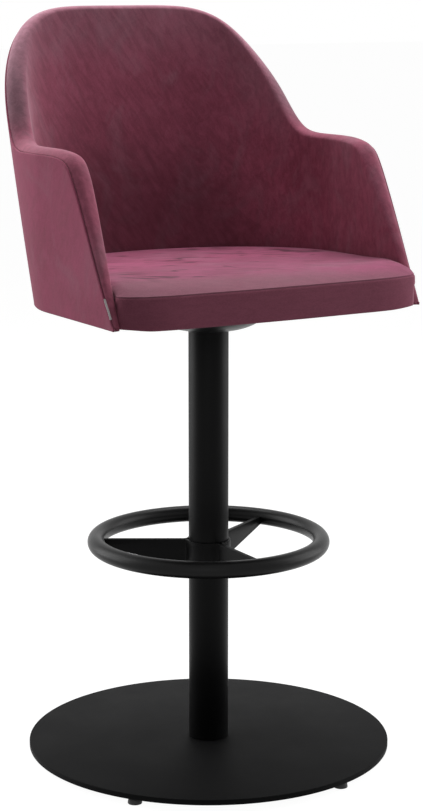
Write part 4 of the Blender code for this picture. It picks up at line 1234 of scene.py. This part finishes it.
def makeBowl():
    bowl = swivelBowl
    middle, half = middleOf("swivel_cover")
    top = middle.z + half.z
    depth = 2 * half.z - bowl["wall"]
    places = [(bowl["lip"], top)]
    for row in range(bowl["rows"], -1, -1):
        angle = row / bowl["rows"] * pi / 2
        places.append((mix(bowl["neck"], bowl["bowl"], sin(angle)),
                       top - depth * max(0.0, cos(angle)) ** (2 * bowl["full"])))
    cover = placed(circle(bowl["sides"], bowl["lip"], (0, axisY, top)), "swivel_bowl")
    pickUp(cover)
    pullRings(places, (0, axisY))
    putDown()
    addWall(cover, bowl["wall"], 1)
    addBevel(cover, bowl["edge"], bowl["edgeAngle"])
    finished(cover, "blackSatin", "seat", "swivel_cover")


footWork = {
    "sides": 48,
    # (radius, height), from the sole up the side, over the top and down the stud's socket
    "places": ((0.0095, 0.0), (0.0102, 0.0003), (0.0105, 0.0010), (0.01035, 0.0024),
               (0.0096, 0.0072), (0.0092, 0.0079), (0.0086, 0.0080), (0.0043, 0.0080),
               (0.0043, 0.0042), (0.0002, 0.0042)),
}


def makeFeet():
    # one pad, modelled at the middle and copied to the five feet
    radius, height = footWork["places"][0]
    model = placed(circle(footWork["sides"], radius, (0, 0, height), fill_type="NGON"), "glide")
    pickUp(model)
    bpy.ops.mesh.region_to_loop()
    pullRings(footWork["places"], (0, 0))
    bpy.ops.mesh.edge_face_add()
    putDown()
    for number in range(1, 6):
        node = f"foot_pad_{number}"
        middle = middleOf(node)[0]
        foot = linked(f"foot_{number}_glide", model.data.copy())
        foot.location = (middle.x, middle.y, 0)
        placed(foot, foot.name)
        finished(foot, "blackFoot", f"foot_{number}", node)
    bpy.data.objects.remove(model)


makeBase()
makeColumn()
makeRing()
makeWebs()
makeBowl()
makeFeet()


# Folded ribbon in the seam near the left arm's tip

ribbon = {"share": 0.040, "length": 0.0300, "width": 0.0042, "fold": 0.0007, "cloth": 0.0004,
          "over": 0.0028, "inward": 0.0015, "lean": 0.60, "step": 0.02, "rootFold": 0.35,
          "wave": 0.0002, "waves": 7, "columns": 12, "rows": 6}


def makeRibbon():
    share = ribbon["share"]
    spot, before, after = (rimPoint(share + step) for step in (0, -ribbon["step"], ribbon["step"]))
    outward = tubOutward(*spot)
    along = (tubOutside(*after) - tubOutside(*before)).normalized()
    over = outward.cross(along).normalized()
    standing = (outward * (1 - ribbon["lean"] ** 2) ** 0.5 + over * ribbon["lean"]).normalized()
    flat = along.cross(standing).normalized()
    root = tubOutside(*spot) + over * ribbon["over"] - outward * ribbon["inward"]
    bpy.ops.mesh.primitive_grid_add(x_subdivisions=ribbon["columns"], y_subdivisions=ribbon["rows"],
                                    size=1, location=(0, 0, 0))
    strip = placed(bpy.context.object, "seam_ribbon")
    for vert in strip.data.vertices:
        # fold the strip over along its middle, with a slight wave from end to end
        across = 2 * abs(vert.co.x)
        side = copysign(1, vert.co.x) if abs(vert.co.x) > 0.001 else 0
        opened = mix(ribbon["rootFold"], 1, sin(pi * min(across, 1) ** 0.5 * 0.5))
        layer = side * ribbon["fold"] * opened + ribbon["wave"] * sin(ribbon["waves"] * vert.co.y)
        place = (root + along * (vert.co.y * ribbon["length"])
                 + standing * ((1 - across) * ribbon["width"]) + flat * layer)
        vert.co = (-place.x, place.y, place.z)
    pickUp(strip)
    putDown()
    addWall(strip, ribbon["cloth"], 0)
    finished(strip, "greyRibbon", "seat", "seam_tab", 50)


makeRibbon()
